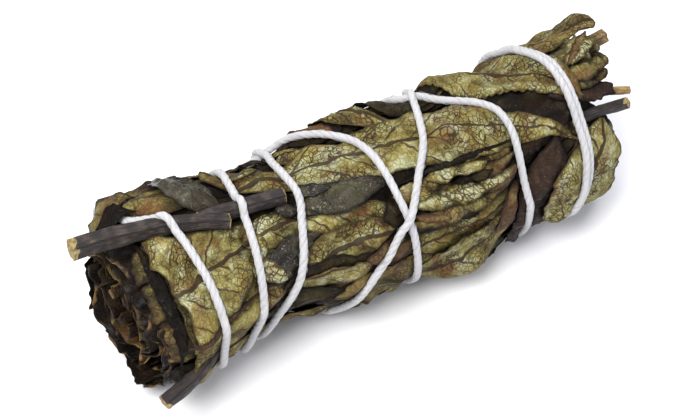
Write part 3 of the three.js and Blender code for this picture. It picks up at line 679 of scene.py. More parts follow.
LEAVES = [
    leaf("under_right", (14, 18), (28, 26), (48, 33), 17, "dark", tone=-0.15, crumple=1.3, teeth=0.5),
    leaf("under_top_left", (-47, -26), (-42, -18), (-34, -4), 8, "olive", crumple=0.8, tone=0.15),
    leaf("front_low_left", (-47, 75), (-34, 73), (-18, 69), 18, "pale", 0.4, tone=-0.12, base_lift=0.6),
    leaf("bottom_left", (-48, 147), (-32, 143), (-12, 134), 20, "pale", 0.35),
    leaf("below_left", (-47, 192), (-30, 188), (-9, 182), 20, "olive", 0.35),
    leaf("back_left", (-48, 246), (-30, 240), (-7, 236), 20, "pale", 0.35),
    leaf("back_top_left", (-48, 303), (-34, 297), (-12, 288), 21, "olive", 0.3),
    leaf("bottom_middle", (-14, 148), (6, 150), (31, 142), 19, "pale"),
    leaf("below_middle", (-13, 204), (6, 208), (31, 200), 19, "pale"),
    leaf("back_middle", (-13, 262), (8, 262), (34, 256), 21, "olive"),
    leaf("back_top_middle", (-16, 318), (4, 312), (26, 306), 17, "pale"),
    leaf("bottom_right", (22, 165), (36, 168), (55, 163), 19, "olive"),
    leaf("below_right", (24, 222), (38, 226), (56, 230), 20, "pale"),
    leaf("back_right", (21, 283), (38, 285), (57, 287), 20, "olive"),
    leaf("lower_right", (-5, 85), (10, 86), (27, 74), 15, "pale", tone=-0.06, curl=(60, 25)),
    leaf("lower_middle", (-16, 103), (-4, 104), (10, 107), 12, "olive", tone=0.1, curl=(60, 25)),
    leaf("low_fold", (1, 119), (16, 110), (30, 84), 13, "pale", tone=0.0, curl=(70, 25)),
    fold((21, 100), (24, 86), (27.5, 64), 6, "russet", tone=-0.05, curl=(40, 40)),
    # A dark strip of painted shadow in the gap between the cut flaps and the front leaf
    fold((-49, 6), (-48.6, 50), (-49, 97), 2.4, "dark", crumple=1.0, tone=-0.45, curl=(20, 20)),
    leaf("front_left", (-47.5, 48), (-38, 44), (-21, 35), 22, "pale", 0.45, tone=0.04, curl=(30, 40),
         base_lift=0.8),
    fold((-48.6, 76), (-41, 75.5), (-32, 72), 1.3, "russet", crumple=0.3, curl=(20, 20)),
    fold((-31, 40), (-24, 36), (-13, 33), 7.5, "pale", tone=0.05, crumple=0.7, curl=(60, 40)),
    fold((-29.8, 33), (-27.2, 44), (-29.6, 56), 2.6, "pale", tone=0.2, curl=(165, 165)),
    leaf("glossy_low", (-28.5, 69), (-23.5, 57), (-12, 44), 7.5, "glossy", crumple=0.9, curl=(50, 50),
         tone=0.12),
    fold((-31.5, 56), (-29, 60), (-25.6, 69), 4.5, "pale", tone=0.3, curl=(90, 40), crumple=0.3),
    fold((-20, 40), (-8, 46), (2, 55), 6.5, "pale", tone=-0.02, curl=(40, 60)),
    leaf("front_middle", (-21.5, 68), (-11, 57), (-1.5, 63), 9, "pale", curl=(90, 70), tone=-0.05,
         crumple=0.6),
    # A dark strip under the lens fold, painted shade round its rim
    fold((-27, 76), (-15, 69), (-4, 77), 5.0, "dark", crumple=0.3),
    leaf("lens_fold", (-26, 87), (-15, 78), (-6, 81), 6.0, "pale", curl=(120, 60), tone=0.15, crumple=0.4),
    # A dark strip below the lens fold, painted shade
    fold((-31, 100), (-23, 97), (-14, 94), 7.0, "dark", crumple=0.6),
    fold((-10, 72), (-4, 76), (3, 80), 4.6, "russet", crumple=0.8, tone=0.1, curl=(60, 60)),
    # A dark sheet under the crumples, painted shade in the gaps between them
    fold((-4, 55), (12, 56), (30, 54), 12.0, "dark", crumple=0.9),
    # A thin dark strip, a painted shade crease among the crumples
    fold((-2, 70), (10, 72.5), (27, 65), 2.6, "dark", crumple=0.8),
    fold((0, 45), (6, 48), (14, 54), 5.0, "pale", tone=0.02, crumple=1.1, curl=(60, 90)),
    leaf("crumple_low", (-1, 64), (10, 68), (26, 62), 4.0, "olive", crumple=1.3, curl=(110, 100), tone=0.15),
    fold((15, 57), (21, 58), (29, 56), 3.4, "russet", crumple=1.2, curl=(110, 110), tone=0.1),
    leaf("crumple_middle", (2, 54), (12, 60), (26, 54), 3.6, "pale", crumple=1.7, curl=(140, 140), tone=0.18),
    fold((14, 48), (19, 46), (28, 47), 4.4, "russet", crumple=1.3, curl=(110, 110), tone=0.15),
    # A small dark strip, a painted shade crease among the crumples
    fold((12, 50), (16.5, 51), (20, 50), 2.0, "dark", crumple=0.5),
    leaf("crumple_high", (7, 42), (13, 46), (20, 44), 3.8, "pale", crumple=1.6, curl=(110, 140), tone=0.05),
    fold((18, 41), (22, 43), (28, 43), 2.6, "olive", crumple=1.2, curl=(100, 120), tone=0.2),
    fold((2, 61), (4.5, 64), (8.5, 67), 1.6, "russet", crumple=0.3, curl=(40, 40), tone=0.25),
    leaf("top_left", (-30, -34), (-25, -12), (-15, 6), 9, "olive", curl=(90, 110), tone=0.06, crumple=0.9),
    fold((-27, -26), (-25.5, -3), (-20.5, -12), 1.3, "pale", tone=0.3, curl=(170, 170), crumple=0.8),
    fold((-16, -26), (-12, -14), (-5, -4), 5.0, "pale", tone=0.02, curl=(130, 60), crumple=0.7),
    leaf("top_fold", (-12, -48), (-7, -34), (-1, -16), 7, "dark", crumple=0.8),
    fold((-10, -58), (-5.5, -36), (-2.8, -12), 4.2, "russet", curl=(150, 150), crumple=0.6, tone=0.05),
    leaf("top_pale", (-4, -42), (3, -26), (9, -7), 8, "pale", crumple=0.8, curl=(80, 120), tone=-0.05),
    leaf("top_grey", (5, -48), (11, -30), (14, -1), 7, "dark", crumple=0.8, curl=(60, 60), tone=0.1),
    leaf("top_left_grey", (-38, -42), (-37, -14), (-31, 12), 8, "glossy", crumple=0.7, curl=(60, 60),
         tone=0.2),
    leaf("purple_band", (33, 150), (31.5, 98), (36.5, 48), 16, "purple", crumple=1.3, tone=0.2,
         curl=(40, 60)),
    leaf("right_end_front", (37.5, 128), (43, 92), (49.5, 52), 19, "pale", curl=(40, 40), tone=0.1,
         crumple=0.5),
    leaf("right_end_brown", (54.5, 36), (49, 31), (39, 25), 4.6, "purple", 0.2, curl=(30, 30), tone=0.2,
         blunt=0.8),
    leaf(
        "right_end_top", (36, -38), (48, -30), (61.2, -17), 14.5, "pale", curl=(10, 20), crumple=0.25,
        tip_lift=3.0, tip_tilt=0.42, blunt=0.7
    ),
    fold((43, 21), (50, 22), (56, 21), 5.0, "olive", crumple=1.3, curl=(50, 50), tone=0.14, blunt=0.85),
    fold((42, 13), (50, 13), (58, 11), 8.0, "olive", crumple=1.7, curl=(50, 50), tone=0.24, blunt=0.85),
    fold((43, 5), (51, 4), (56.8, 3), 7.5, "olive", crumple=1.5, curl=(50, 50), tone=0.2, blunt=0.85),
    fold((46, 13), (49.5, 6), (52.5, -4), 2.2, "pale", crumple=0.3, curl=(30, 60), tone=0.15),
    fold((46, 14), (51, 7), (55, -3), 2.2, "russet", crumple=0.3, curl=(30, 60), tone=0.25),
    fold((46.5, 15), (51.5, 10), (56, 3), 2.0, "pale", crumple=0.3, curl=(30, 60), tone=0.25),
    leaf("long_top", (-27, 0), (24, 6), (42, 58), 13.5, "pale", curl=(50, 70), tone=0.12, taper=0.6),
    leaf("toothed_top", (14, -54), (35, -30), (46, 34), 16, "pale", curl=(30, 60), teeth=0.8, tone=0.08),
    leaf("glossy_middle", (-20, 30), (-11, 30), (2, 33), 6.3, "glossy", crumple=1.1, curl=(50, 50), tone=0.2),
    fold((-18, 17), (-15, 19), (-11, 24), 3.6, "glossy", crumple=1.3, curl=(100, 100), tone=0.1),
    fold((-22.5, 26), (-20.5, 29), (-18, 30), 3.0, "glossy", crumple=1.2, curl=(100, 100)),
    # A thin dark strip, a painted shade crease
    fold((1, 38), (14, 38.5), (27, 39), 1.2, "dark", crumple=0.8, curl=(60, 60), tone=-0.1),
]


def leaf_profile(share, taper=0.0, blunt=0.0):
    """Half width along a leaf, from 0 to 1, with a slimmer or a blunter tip where that is asked for."""
    profile = np.maximum(0.07, np.sin(np.pi * share**0.85) ** 0.75)
    profile = profile * (1 - taper * smooth_step(0.5, 0.95, share))
    rounded = blunt * np.sqrt(1 - np.clip((share - 0.6) / 0.4, 0, 1) ** 2.5)
    return np.where(share > 0.6, np.maximum(profile, rounded), profile)


def lay_leaf(item, number, field):
    """Lays one leaf over what is there and raises the height map. Keeps its grid for the mesh."""
    places = (item["base"], item["via"], item["tip"])
    base, via, tip = (np.array([x, angle * MM_PER_DEGREE]) for x, angle in places)
    looks = item["looks"]
    width = item["width"]
    length = np.linalg.norm(via - base) + np.linalg.norm(tip - via)
    rows = max(int(length / LEAF_STEP), 8)
    columns = max(int(width / LEAF_STEP), 6)
    share = np.linspace(0, 1, rows + 1)[:, None]
    across = np.linspace(-1, 1, columns + 1)[None, :]
    ribs = base * (1 - share) ** 2 + 2 * via * share * (1 - share) + tip * share**2
    run = 2 * (via - base) * (1 - share) + 2 * (tip - via) * share
    run /= np.linalg.norm(run, axis=1, keepdims=True)
    side = np.stack([-run[:, 1], run[:, 0]], axis=1)
    reach = item["cut"] + (1 - item["cut"]) * share
    profile = leaf_profile(reach, looks.get("taper", 0.0), looks.get("blunt", 0.0))
    margin = np.where(across < 0, 0.0, 40.0)
    along = share * length
    wavy = 1 + 0.10 * noise(along / 4.5, margin, number) + 0.05 * noise(along / 1.3, margin, number + 3)
    torn = np.clip(noise(along / 3.1, margin + 9, number + 5) - 0.55, 0, 1) * 2.2
    teeth = looks.get("teeth", CRENATE_DEPTH) * np.abs(np.sin(np.pi * along / CRENATE_PITCH + 0.7 * margin))
    half = np.maximum(width / 2 * profile * wavy - torn * profile + teeth * profile - 0.1, 0.25)
    v = across * half
    u = along + 0 * v
    ends = np.minimum(along + (0 if item["cut"] else 1.0), (length - along) * 1.2)
    edge = np.minimum(half - np.abs(v), ends + 0 * v)
    frayed = 0.7 * noise(v / 3.4, 3.0, number + 7) + 0.3 * noise(v / 1.1, 5.0, number + 8)
    frayed = frayed * np.clip(1 - along / 5, 0, 1) * (1.0 if item["cut"] else 0.3)
    plane = ribs[:, None, :] + side[:, None, :] * v[..., None] + run[:, None, :] * frayed[..., None]
    x = plane[..., 0]
    angle = plane[..., 1] / MM_PER_DEGREE

    under = sample(field, x, angle) + LEAF_CLEARANCE
    radius = under.copy()
    for _ in range(DRAPE_PASSES):
        padded = np.pad(radius, 1, mode="edge")
        mean = (padded[:-2, 1:-1] + padded[2:, 1:-1] + padded[1:-1, :-2] + padded[1:-1, 2:]) / 4
        radius = np.maximum(under, mean)

    crumple = looks.get("crumple", 0.35)
    swing = 7.0 if width > 9 else 4.0
    relief = crumple * (0.5 + 0.5 * fractal(u / swing, v / swing + 7 * number, 40 + number))
    relief += 0.45 * crumple * creases(u / 3.4 + v / 9, v / 2.6, 80 + number)
    off_rib = 0.0 if width > RIB_WIDTH else SIDE_PIECE_SHIFT
    rib_height = 0.42 * np.exp(-(((v + off_rib) / 0.55) ** 2)) * (1 - 0.7 * share)
    slanted = (u - np.abs(v) * VEIN_SLANT - v * v * VEIN_BEND) / VEIN_SPACING
    slanted += np.where(v > 0, VEIN_OFFSET, 0)
    off = np.abs(slanted - np.floor(slanted) - 0.5) * VEIN_SPACING * VEIN_LEAN
    pucker = 0.16 * np.exp(-((off / 0.5) ** 2)) + 0.1 * (1 - np.clip(off / 2, 0, 1))
    relief += rib_height + pucker * smooth_step(0.2, 1.4, edge)
    relief *= 0.35 + 0.65 * smooth_step(0.0, 2.0, edge)
    # The relief's height against its mean, named worn: it paints ridges paler and hollows darker, partly wear
    # and partly painted light and shade
    worn = np.clip((relief - relief.mean()) / (relief.std() + 0.01), -2, 2) * min(crumple, 1.0)
    radius = radius + relief
    near_base = np.clip(1 - along / BASE_LIFT_REACH, 0, 1)
    near_tip = np.clip(1 - (length - along) / TIP_LIFT_REACH, 0, 1)
    radius = radius + looks.get("base_lift", 0.0) * near_base**2
    radius = radius + looks.get("tip_lift", 0.0) * near_tip**2
    radius = radius + looks.get("tip_tilt", 0.0) * (half - v) * near_tip

    thickness = LEAF_MARGIN + (LEAF_MIDDLE - LEAF_MARGIN) * smooth_step(0, 2.5, edge)
    stamp(field, x, angle, radius + thickness)
    item.update(
        x=x, angle=angle, radius=radius, thickness=thickness, u=u, v=v, edge=edge, half=half, side=side,
        number=number, along=along, off_rib=off_rib, worn=worn
    )


# Stems: x, angle and radius of points along the middle, then the stem's own radius at both ends. A stem that
# rests lies on the leaves under it. Its chips say how much bark is gone at either end.
def stem(name, points, start, end, colour="bark", rests=False, hollow=False, chips=(0.6, 0.6)):
    return dict(
        name=name, points=points, start=start, end=end, colour=colour, rests=rests, hollow=hollow, chips=chips
    )


STEMS = [
    stem("inner_tan", [(-47, 20, 9), (47, 27, 13), (59, 42, 14.6)], 1.3, 0.85, "tan"),
    stem("inner_purple", [(-48, 75, 8), (20, 58, 11.5), (47, 47, 15.2), (57.5, 51, 14.4)], 1.5, 1.15),
    stem("inner_top", [(-47, 318, 7), (20, 345, 10.5), (60.2, 357, 17.5)], 1.5, 1.5, "brown", hollow=True),
    stem("inner_low", [(-50, 215, 9), (54, 150, 11.5)], 1.6, 1.2),
    stem("inner_back", [(-49, 265, 10.5), (52, 262, 9)], 1.3, 1.5),
    stem("inner_middle", [(-48, 120, 4), (53, 60, 5)], 1.4, 1.2),
    stem(
        "front_low", [(-53.8, 112, 19.8), (-46, 108, 18), (-40, 104, 15.4), (-28, 100, 13.4), (-13, 95, 13)],
        1.6, 1.2, chips=(0.3, 0.3)
    ),
    stem(
        "top_second", [(-36, 10, 15.6), (-29, 15.5, 16.2), (-19.5, 16.5, 15.8)],
        1.75, 1.6, rests=True, chips=(0, 0)
    ),
    stem(
        "top_left", [(-59.9, -4, 18.8), (-51, -1, 18.3), (-42, 6.5, 17.4), (-31.5, 21.8, 16.6)],
        2.15, 1.5, "brown_end", rests=True, chips=(0.3, 0.12)
    ),
]


def lay_stem(item):
    """Settles a stem on what lies under it and raises the height map over it."""
    path = spline([(x, angle * MM_PER_DEGREE, radius) for x, angle, radius in item["points"]], STEM_STEP)
    x = path[:, 0]
    angle = path[:, 1] / MM_PER_DEGREE
    radius = path[:, 2]
    thick = np.linspace(item["start"], item["end"], len(x))
    if item["rests"]:
        under = sample(heights, x, angle)
        on_top = soften(np.where(np.abs(x) < HALF_BODY - 1, under, 0), 4) + thick * (1 - STEM_SINK)
        radius = np.where(np.abs(x) < HALF_BODY - 3, np.maximum(radius, on_top), radius)
        radius = soften(radius, 6)
    item.update(x=x, angle=angle, radius=radius, thick=thick)
    if item["rests"]:
        sunk = np.clip(radius - path[:, 2], 0, STEM_PRESS)
        item.update(radius=radius - sunk, press=sunk * smooth_step(HALF_BODY + 1, HALF_BODY - 2, np.abs(x)))
    across = np.linspace(-1, 1, 13)[None, :]
    wide = across * thick[:, None]
    top = radius[:, None] + np.sqrt(np.clip(thick[:, None] ** 2 - wide**2, 0, None))
    spread = angle[:, None] + np.degrees(wide / radius[:, None])
    stamp(heights, x[:, None] + 0 * wide, spread, top)


def scrap(number, x, angle, length, lean, width, colour, **looks):
    """A small leaf piece, given by its middle and how much its angle turns along it."""
    base = (x - length / 2, angle - lean / 2)
    tip = (x + length / 2, angle + lean / 2)
    bow = 6 * math.sin(number * 2.4)
    return leaf(f"scrap_{number}", base, (x, angle + bow), tip, width, colour, **looks)


def random_scraps(count, seed, colours, x_range, angle_range, lengths, widths, crumple):
    rng = np.random.default_rng(seed)
    made = []
    for index in range(count):
        x = rng.uniform(*x_range)
        angle = rng.uniform(*angle_range)
        length = rng.uniform(*lengths)
        lean = rng.uniform(-25, 25)
        width = rng.uniform(*widths)
        colour = colours[int(rng.integers(len(colours)))]
        curl = (float(rng.uniform(20, 110)), float(rng.uniform(20, 110)))
        tone = float(rng.uniform(-0.25, 0.1))
        made.append(scrap(seed * 100 + index, x, angle, length, lean, width, colour,
                          crumple=crumple, curl=curl, tone=tone))
    return made


UNDER_SCRAPS = random_scraps(
    count=90, seed=3, colours=["dark", "purple", "olive", "dark"], x_range=(-44, 44), angle_range=(0, 360),
    lengths=(10, 20), widths=(4, 8), crumple=0.8
)

# Torn flaps that stand round both ends
CUT_FLAPS = [
    leaf("cut_flap_1", (-50, -58), (-44, -52), (-35, -48), 13, "olive", 0.35, crumple=1.0, curl=(60, 60),
         base_lift=1.6),
    leaf("cut_flap_2", (-49.5, -26), (-44, -22), (-35, -24), 10, "dark", 0.3, crumple=0.9, curl=(80, 60),
         base_lift=1.0),
    leaf("cut_flap_3", (-51, 20), (-46, 22), (-36, 26), 8, "olive", 0.35, crumple=0.9, curl=(60, 80),
         tone=0.08),
    leaf("cut_flap_4", (-51.5, 46), (-46, 48), (-36, 48), 9, "olive", 0.4, crumple=1.0, curl=(40, 60),
         tone=0.02),
    leaf("cut_flap_5", (-51.5, 80), (-46, 80), (-36, 82), 12, "olive", 0.4, crumple=1.1, curl=(60, 60),
         tone=0.0),
    leaf("cut_flap_6", (-51, 118), (-46, 120), (-36, 122), 12, "dark", 0.35, crumple=0.9, curl=(60, 90)),
    leaf("cut_flap_7", (-53.5, 168), (-46, 166), (-36, 168), 14, "purple", 0.35, crumple=0.9, curl=(70, 70)),
    leaf("cut_flap_8", (-53, 212), (-46, 210), (-36, 208), 13, "olive", 0.35, crumple=1.0, curl=(60, 60),
         tone=-0.1),
    leaf("cut_flap_9", (-54, 252), (-46, 250), (-36, 248), 14, "dark", 0.35, crumple=1.0, curl=(80, 60)),
    leaf("cut_flap_10", (-50, 288), (-46, 286), (-36, 285), 12, "purple", 0.35, crumple=1.0, curl=(60, 60)),
]
TIP_FLAPS = [
    leaf("tip_flap_1", (36, -68), (49, -60), (58, -54), 13, "pale", crumple=0.8, curl=(90, 60), tip_lift=1.0,
         blunt=0.6),
    leaf("tip_flap_2", (38, -24), (47, -12), (56, -4), 12, "dark", crumple=0.8, curl=(60, 60), blunt=0.7),
    leaf("tip_flap_5", (36, 78), (46, 80), (52.5, 84), 14, "olive", crumple=0.7, curl=(60, 60)),
    leaf("tip_flap_6", (36, 116), (46, 116), (52.5, 108), 12, "dark", crumple=0.7, curl=(80, 60)),
    leaf("tip_flap_7", (36, 150), (47, 152), (57, 160), 13, "olive", crumple=0.8, curl=(60, 90)),
    leaf("tip_flap_8", (36, 196), (47, 196), (57, 190), 14, "purple", crumple=0.8, curl=(90, 90), blunt=0.55),
    leaf("tip_flap_9", (36, 236), (47, 238), (59, 244), 13, "olive", crumple=0.9, curl=(70, 110)),
    leaf("tip_flap_10", (36, 270), (47, 272), (59.5, 263), 13, "dark", crumple=0.9, curl=(90, 90),
         tip_lift=1.0,
         blunt=0.6),
]

# The order of laying: the stems of the tip end first, and three stems each after the leaf that is named
TIP_STEMS = ["inner_tan", "inner_purple", "inner_top"]
STEM_AFTER = {"front_low_left": "front_low", "top_left_grey": "top_second", "purple_band": "top_left"}


def lay_everything():
    stems = {item["name"]: item for item in STEMS}
    for name in TIP_STEMS:
        lay_stem(stems.pop(name))
    for number, item in enumerate(UNDER_SCRAPS + CUT_FLAPS + TIP_FLAPS + LEAVES, start=1):
        lay_leaf(item, number, heights)
        if item["name"] in STEM_AFTER:
            lay_stem(stems.pop(STEM_AFTER[item["name"]]))
    for item in stems.values():
        path = spline(item["points"], STEM_STEP)
        thick = np.linspace(item["start"], item["end"], len(path))
        item.update(x=path[:, 0], angle=path[:, 1], radius=path[:, 2], thick=thick)


lay_everything()

# The string's route as x and running angle. It is the one of the part's source, except that its two turns at
# the tip end lie closer together, by 0.35 mm each.
STRING_ROUTE = [
    (-47.6, -90), (-48, -60), (-48.2, -36), (-48, -21), (-47.2, -12.5), (-45.3, -6.5), (-43.5, -1),
    (-42.3, 6), (-41.7, 15), (-40.8, 45), (-40.6, 75), (-40.3, 100), (-38.8, 140), (-37.4, 180),
    (-37, 212), (-35.5, 236), (-31.5, 252), (-26.5, 268), (-20.6, 284), (-15.9, 298), (-11, 314),
    (-7.6, 330), (-3.8, 345), (-1.2, 357), (0, 370), (0.4, 385), (0.5, 410), (1.3, 432), (2.2, 458),
    (3.6, 485), (6, 540), (8.6, 590), (11.5, 640), (13.6, 676), (13.6, 695), (18.2, 706), (23.8, 719.5),
    (27.6, 736), (28.3, 750), (27.9, 768), (27.9, 790), (28.9, 817), (30.7, 845), (31.8, 880),
    (32.5, 900), (33.4, 940), (34.8, 966), (39, 985), (43.2, 1003), (45, 1022), (44.4, 1042),
    (43.3, 1063), (43.8, 1084), (44.1, 1112), (44, 1132), (43.6, 1150), (42.8, 1167), (42, 1180),
    (41.6, 1210), (41.4, 1300), (42.2, 1345), (43.6, 1380), (43, 1402), (42, 1423), (42.5, 1444),
    (42.8, 1472), (42.7, 1492), (42.3, 1510), (41.5, 1527), (40.7, 1542), (39.9, 1565), (39, 1600),
    (38.3, 1630), (37.2, 1662), (34.6, 1684), (29.9, 1703), (25.2, 1725), (19.6, 1750), (15.8, 1780),
    (13.4, 1800), (10.6, 1820), (5.8, 1840), (1.2, 1858), (-3.4, 1871), (-7.6, 1886), (-9.4, 1898),
    (-10.8, 1914), (-12.4, 1935), (-15.0, 1975), (-16.4, 2030), (-15.2, 2085), (-14.4, 2112),
    (-16.2, 2140), (-16.9, 2160), (-17.1, 2180), (-19.3, 2200), (-21.2, 2219), (-23.2, 2237),
    (-25.2, 2252), (-27.5, 2272), (-29.6, 2310), (-29.5, 2340), (-28.4, 2385), (-26.6, 2420),
    (-24.9, 2470), (-26.2, 2495), (-27.4, 2520), (-28.4, 2540), (-29.5, 2560), (-30.5, 2582),
    (-31.4, 2606), (-32.6, 2640), (-33.6, 2700), (-34, 2735), (-36.8, 2758), (-41.6, 2773),
    (-46.8, 2790),
]

# How far the resting stems press the leaves in, and where they lie under the string
stem_presses = np.zeros_like(heights)
stem_cover = np.zeros_like(heights)
for item in STEMS:
    if item["rests"]:
        x, angle, depths = item["x"][::2], item["angle"][::2], item["press"][::2]
        stem_presses = np.maximum(stem_presses, press_field(x, angle, depths, STEM_PRESS_WIDTH))
        stem_cover = np.maximum(stem_cover, press_field(x, angle, np.ones_like(x), STEM_COVER_WIDTH))
settled = heights - stem_presses


def settle_string():
    """The string's path with its radius over the leaves, and how deep it bites into them."""
    route = spline([(x, angle * MM_PER_DEGREE) for x, angle in STRING_ROUTE], STRING_STEP)
    x = route[:, 0]
    angle = route[:, 1] / MM_PER_DEGREE
    leaves = sample(settled, x, angle)
    wanted = leaves - STRING_BITE * (1 - sample(stem_cover, x, angle)) + STRING_RADIUS
    taut = np.maximum(soften(wanted, LONG_SPAN), soften(wanted, SHORT_SPAN) - DIP_LIMIT)
    on_stem = smooth_step(0.35, 0.8, sample(stem_cover, x, angle))
    taut = soften(np.maximum(taut, wanted * on_stem), 2)
    count = len(x)
    turn = np.radians(angle)
    flat = np.stack([x, np.cos(turn) * STACK_RADIUS, np.sin(turn) * STACK_RADIUS], axis=1)
    lift = np.zeros(count)
    apart = int(CROSSING_GAP / STRING_STEP)
    for index in range(apart + 1, count):
        gap = np.linalg.norm(flat[: index - apart] - flat[index], axis=1)
        if gap.min() < STACK_REACH:
            near = gap.argmin()
            climb = math.sqrt(STACK_REACH**2 - gap.min() ** 2)
            lift[index] = max(0.0, taut[near] + lift[near] + climb - taut[index])
    radius = taut + soften(lift, 4) * STACK_MARGIN
    down = -np.cos(turn)
    on_floor = (axis_height(x) - STRING_RADIUS) / np.clip(down, DOWNWARD, None)
    radius = np.where(down > DOWNWARD, np.minimum(radius, on_floor), radius)
    bite = np.clip(leaves - (radius - STRING_RADIUS), 0, DEEPEST_BITE)
    return x, angle, radius, bite


string_x, string_angle, string_radius, string_bite = settle_string()
bites = press_field(string_x[::2], string_angle[::2], string_bite[::2], BITE_WIDTH)
pressed_in = bites + stem_presses

# Leaves that lie over the string's start, where it comes out from under them
OVER_LEAVES = [
    fold((-52, -48), (-48.5, -36), (-44, -25), 7.0, "olive", crumple=0.9, curl=(60, 150), tone=0.06),
    # A dark leaf that paints the shadow of a hollow, as painted shadow
    fold((-52.5, -27), (-49.8, -20), (-45.5, -14), 5.0, "dark", crumple=0.9, curl=(50, 80), tone=-0.4),
]


def lay_over_string():
    """Lays those leaves over the string's first stretch."""
    first_turn = string_angle < 30
    x = string_x[first_turn]
    wide = np.linspace(-1, 1, 9)[None, :] * STRING_RADIUS
    top = string_radius[first_turn][:, None] + np.sqrt(STRING_RADIUS**2 - wide**2)
    stamp(settled, x[:, None] + wide, string_angle[first_turn][:, None] + 0 * wide, top)
    for number, item in enumerate(OVER_LEAVES):
        lay_leaf(item, 400 + number, settled)
        item["over"] = True


settled -= bites
lay_over_string()
# The nearby leaves' heights, blurred, for each leaf's painted shade
near_heights = blurred(heights, SHADE_REACH)


# Meshes of the leaves
def leaf_mesh(item):
    """A laid leaf as a closed mesh, pressed in by string and stems, with its free margins curled up, and
    painted shade where it lies low among the leaves round it and in its creases.
    """
    x, angle, radius, edge = item["x"], item["angle"], item["radius"], item["edge"]
    v, half, along = item["v"], item["half"], item["along"]
    looks = item["looks"]
    number = item["number"]
    over = item.get("over", False)
    covered = sample(settled if over else heights, x, angle) - radius - item["thickness"]
    bare = 1 - smooth_step(0.12, 0.5, covered)
    pressed = 0 * x if over else sample(bites, x, angle)
    free = bare * (1 - smooth_step(0.05, 0.4, pressed))
    mid = radius + item["thickness"] / 2 - (0 if over else sample(pressed_in, x, angle))
    upper_curl, lower_curl = looks.get("curl", CURL_ANGLES)
    turn = np.radians(np.where(v < 0, upper_curl, lower_curl))
    turn = turn * (0.55 + 0.45 * noise(along / 5, np.where(v < 0, 0.0, 30.0), number + 60))
    edge_free = np.where(v < 0, free[:, :1], free[:, -1:])
    for _ in range(6):
        for one_on in (slice(2, None), slice(None, -2)):
            edge_free = np.minimum(edge_free, np.pad(edge_free, ((1, 1), (0, 0)), mode="edge")[one_on])
    turn = np.maximum(turn * edge_free, 0.02)
    zone = np.minimum(CURL_WIDTH, half * 0.8)
    rolled = np.clip(zone - (half - np.abs(v)), 0, None)
    bend = zone / turn
    phi = rolled / bend
    inward = rolled - bend * np.sin(phi)
    up = bend * (1 - np.cos(phi))
    shift = -np.sign(v) * inward
    x = x + item["side"][:, None, 0] * shift
    angle = angle + item["side"][:, None, 1] * shift / MM_PER_DEGREE
    points = place(x, angle, mid + up)
    low = FLOOR_CLEARANCE + item["thickness"] / 2
    points[..., 2] = np.maximum(points[..., 2], low)
    outward = points - np.stack([points[..., 0], axis_back(x), axis_height(x)], axis=-1)
    # Painted shade: the further a leaf lies below the leaves round it, the darker it is painted
    sunk = smooth_step(-0.05, 0.9, sample(near_heights, x, angle) - radius - item["thickness"] - up)
    seed = np.full_like(v, number * 13.7)
    leaf_place = np.stack([item["u"], v + item["off_rib"], seed], axis=-1)
    # Ridges painted paler and hollows darker, partly wear and partly painted light and shade
    tone = 0.5 + looks.get("tone", 0.0) + RIDGE_LIGHT_AND_WEAR * item["worn"]
    # Painted shade in the deepest hollows of the relief
    crease_painted_shade = CREASE_PAINTED_SHADE * np.clip(-item["worn"] - 0.5, 0, 1)
    leaf_edge = np.stack([edge, (1 - 0.85 * sunk) * (1 - crease_painted_shade), tone], axis=-1)
    return shell(points, item["thickness"], leaf_place, leaf_edge, outward)


def add_piece(name, mesh_parts, material, node=None):
    """A piece that rides on the bundle, in the place of a CAD node where one is named."""
    piece = new_object(name, *mesh_parts, material)
    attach(piece, "root")
    if node:
        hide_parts(node)


NODE_LEAVES = [item for item in LEAVES if not item["extra"]]
FOLDS = [item for item in LEAVES if item["extra"]] + OVER_LEAVES
for item in NODE_LEAVES:
    name, colour = item["name"], item["colour"]
    add_piece("sage_" + name, leaf_mesh(item), MATERIALS[colour], "leaf_" + name)

for label, group in (
    ("scraps", UNDER_SCRAPS), ("folds", FOLDS), ("cut_flaps", CUT_FLAPS), ("tip_flaps", TIP_FLAPS)
):
    for colour in MATERIALS:
        parts = [leaf_mesh(item) for item in group if item["colour"] == colour]
        if parts:
            add_piece(f"sage_{label}_{colour}", join(parts), MATERIALS[colour])


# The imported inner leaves: a dark core and the folded layers that show at both ends
INNER_BODY_END = 43.5
SECTION_REACH = 15.0
SECTION_EDGE = 15.9
LAYER_GAP = 1.0
FIRST_RING = 1.4
LOWEST_LAYER = 1.2


def inner_core():
    """The dark core, pressed in where the leaves over it are."""
    x = np.linspace(-INNER_BODY_END, INNER_BODY_END, 140)[:, None]
    angle = np.arange(0, 360, 3.0)[None, :]
    radius = core_radius(x, angle) - sample(pressed_in, x + 0 * angle, angle + 0 * x) - 0.1
    radius = radius - 0.5 * creases(x / 5, angle / 9, 91)
    body = place(x, angle, radius)
    count = body.shape[1]
    faces = grid_faces(*body.shape[:2], closed=True)
    faces.append(list(reversed(range(count))))
    faces.append([(body.shape[0] - 1) * count + j for j in range(count)])
    flat = body.reshape(-1, 3)
    where = np.stack(np.broadcast_arrays(x, angle * MM_PER_DEGREE, 0.0), axis=-1).reshape(-1, 3)
    # The shade channel at 0.4 paints shade over the whole core, and its tone is low
    edge = np.tile([4.0, 0.4, 0.3], (len(flat), 1))
    return flat, faces, {"leaf_place": where, "leaf_edge": edge}


def open_holes(across, up, holes):
    """Pushes points of the cross-section aside so that each hole stays free and no layers cross."""
    for centre_across, centre_up, size in holes:
        da = across - centre_across
        du = up - centre_up
        away = np.maximum(np.hypot(da, du), 1e-6)
        grown = np.sqrt(away**2 + size**2 * np.exp(-((away / 9) ** 2)))
        across = centre_across + da / away * grown
        up = centre_up + du / away * grown
    return across, up


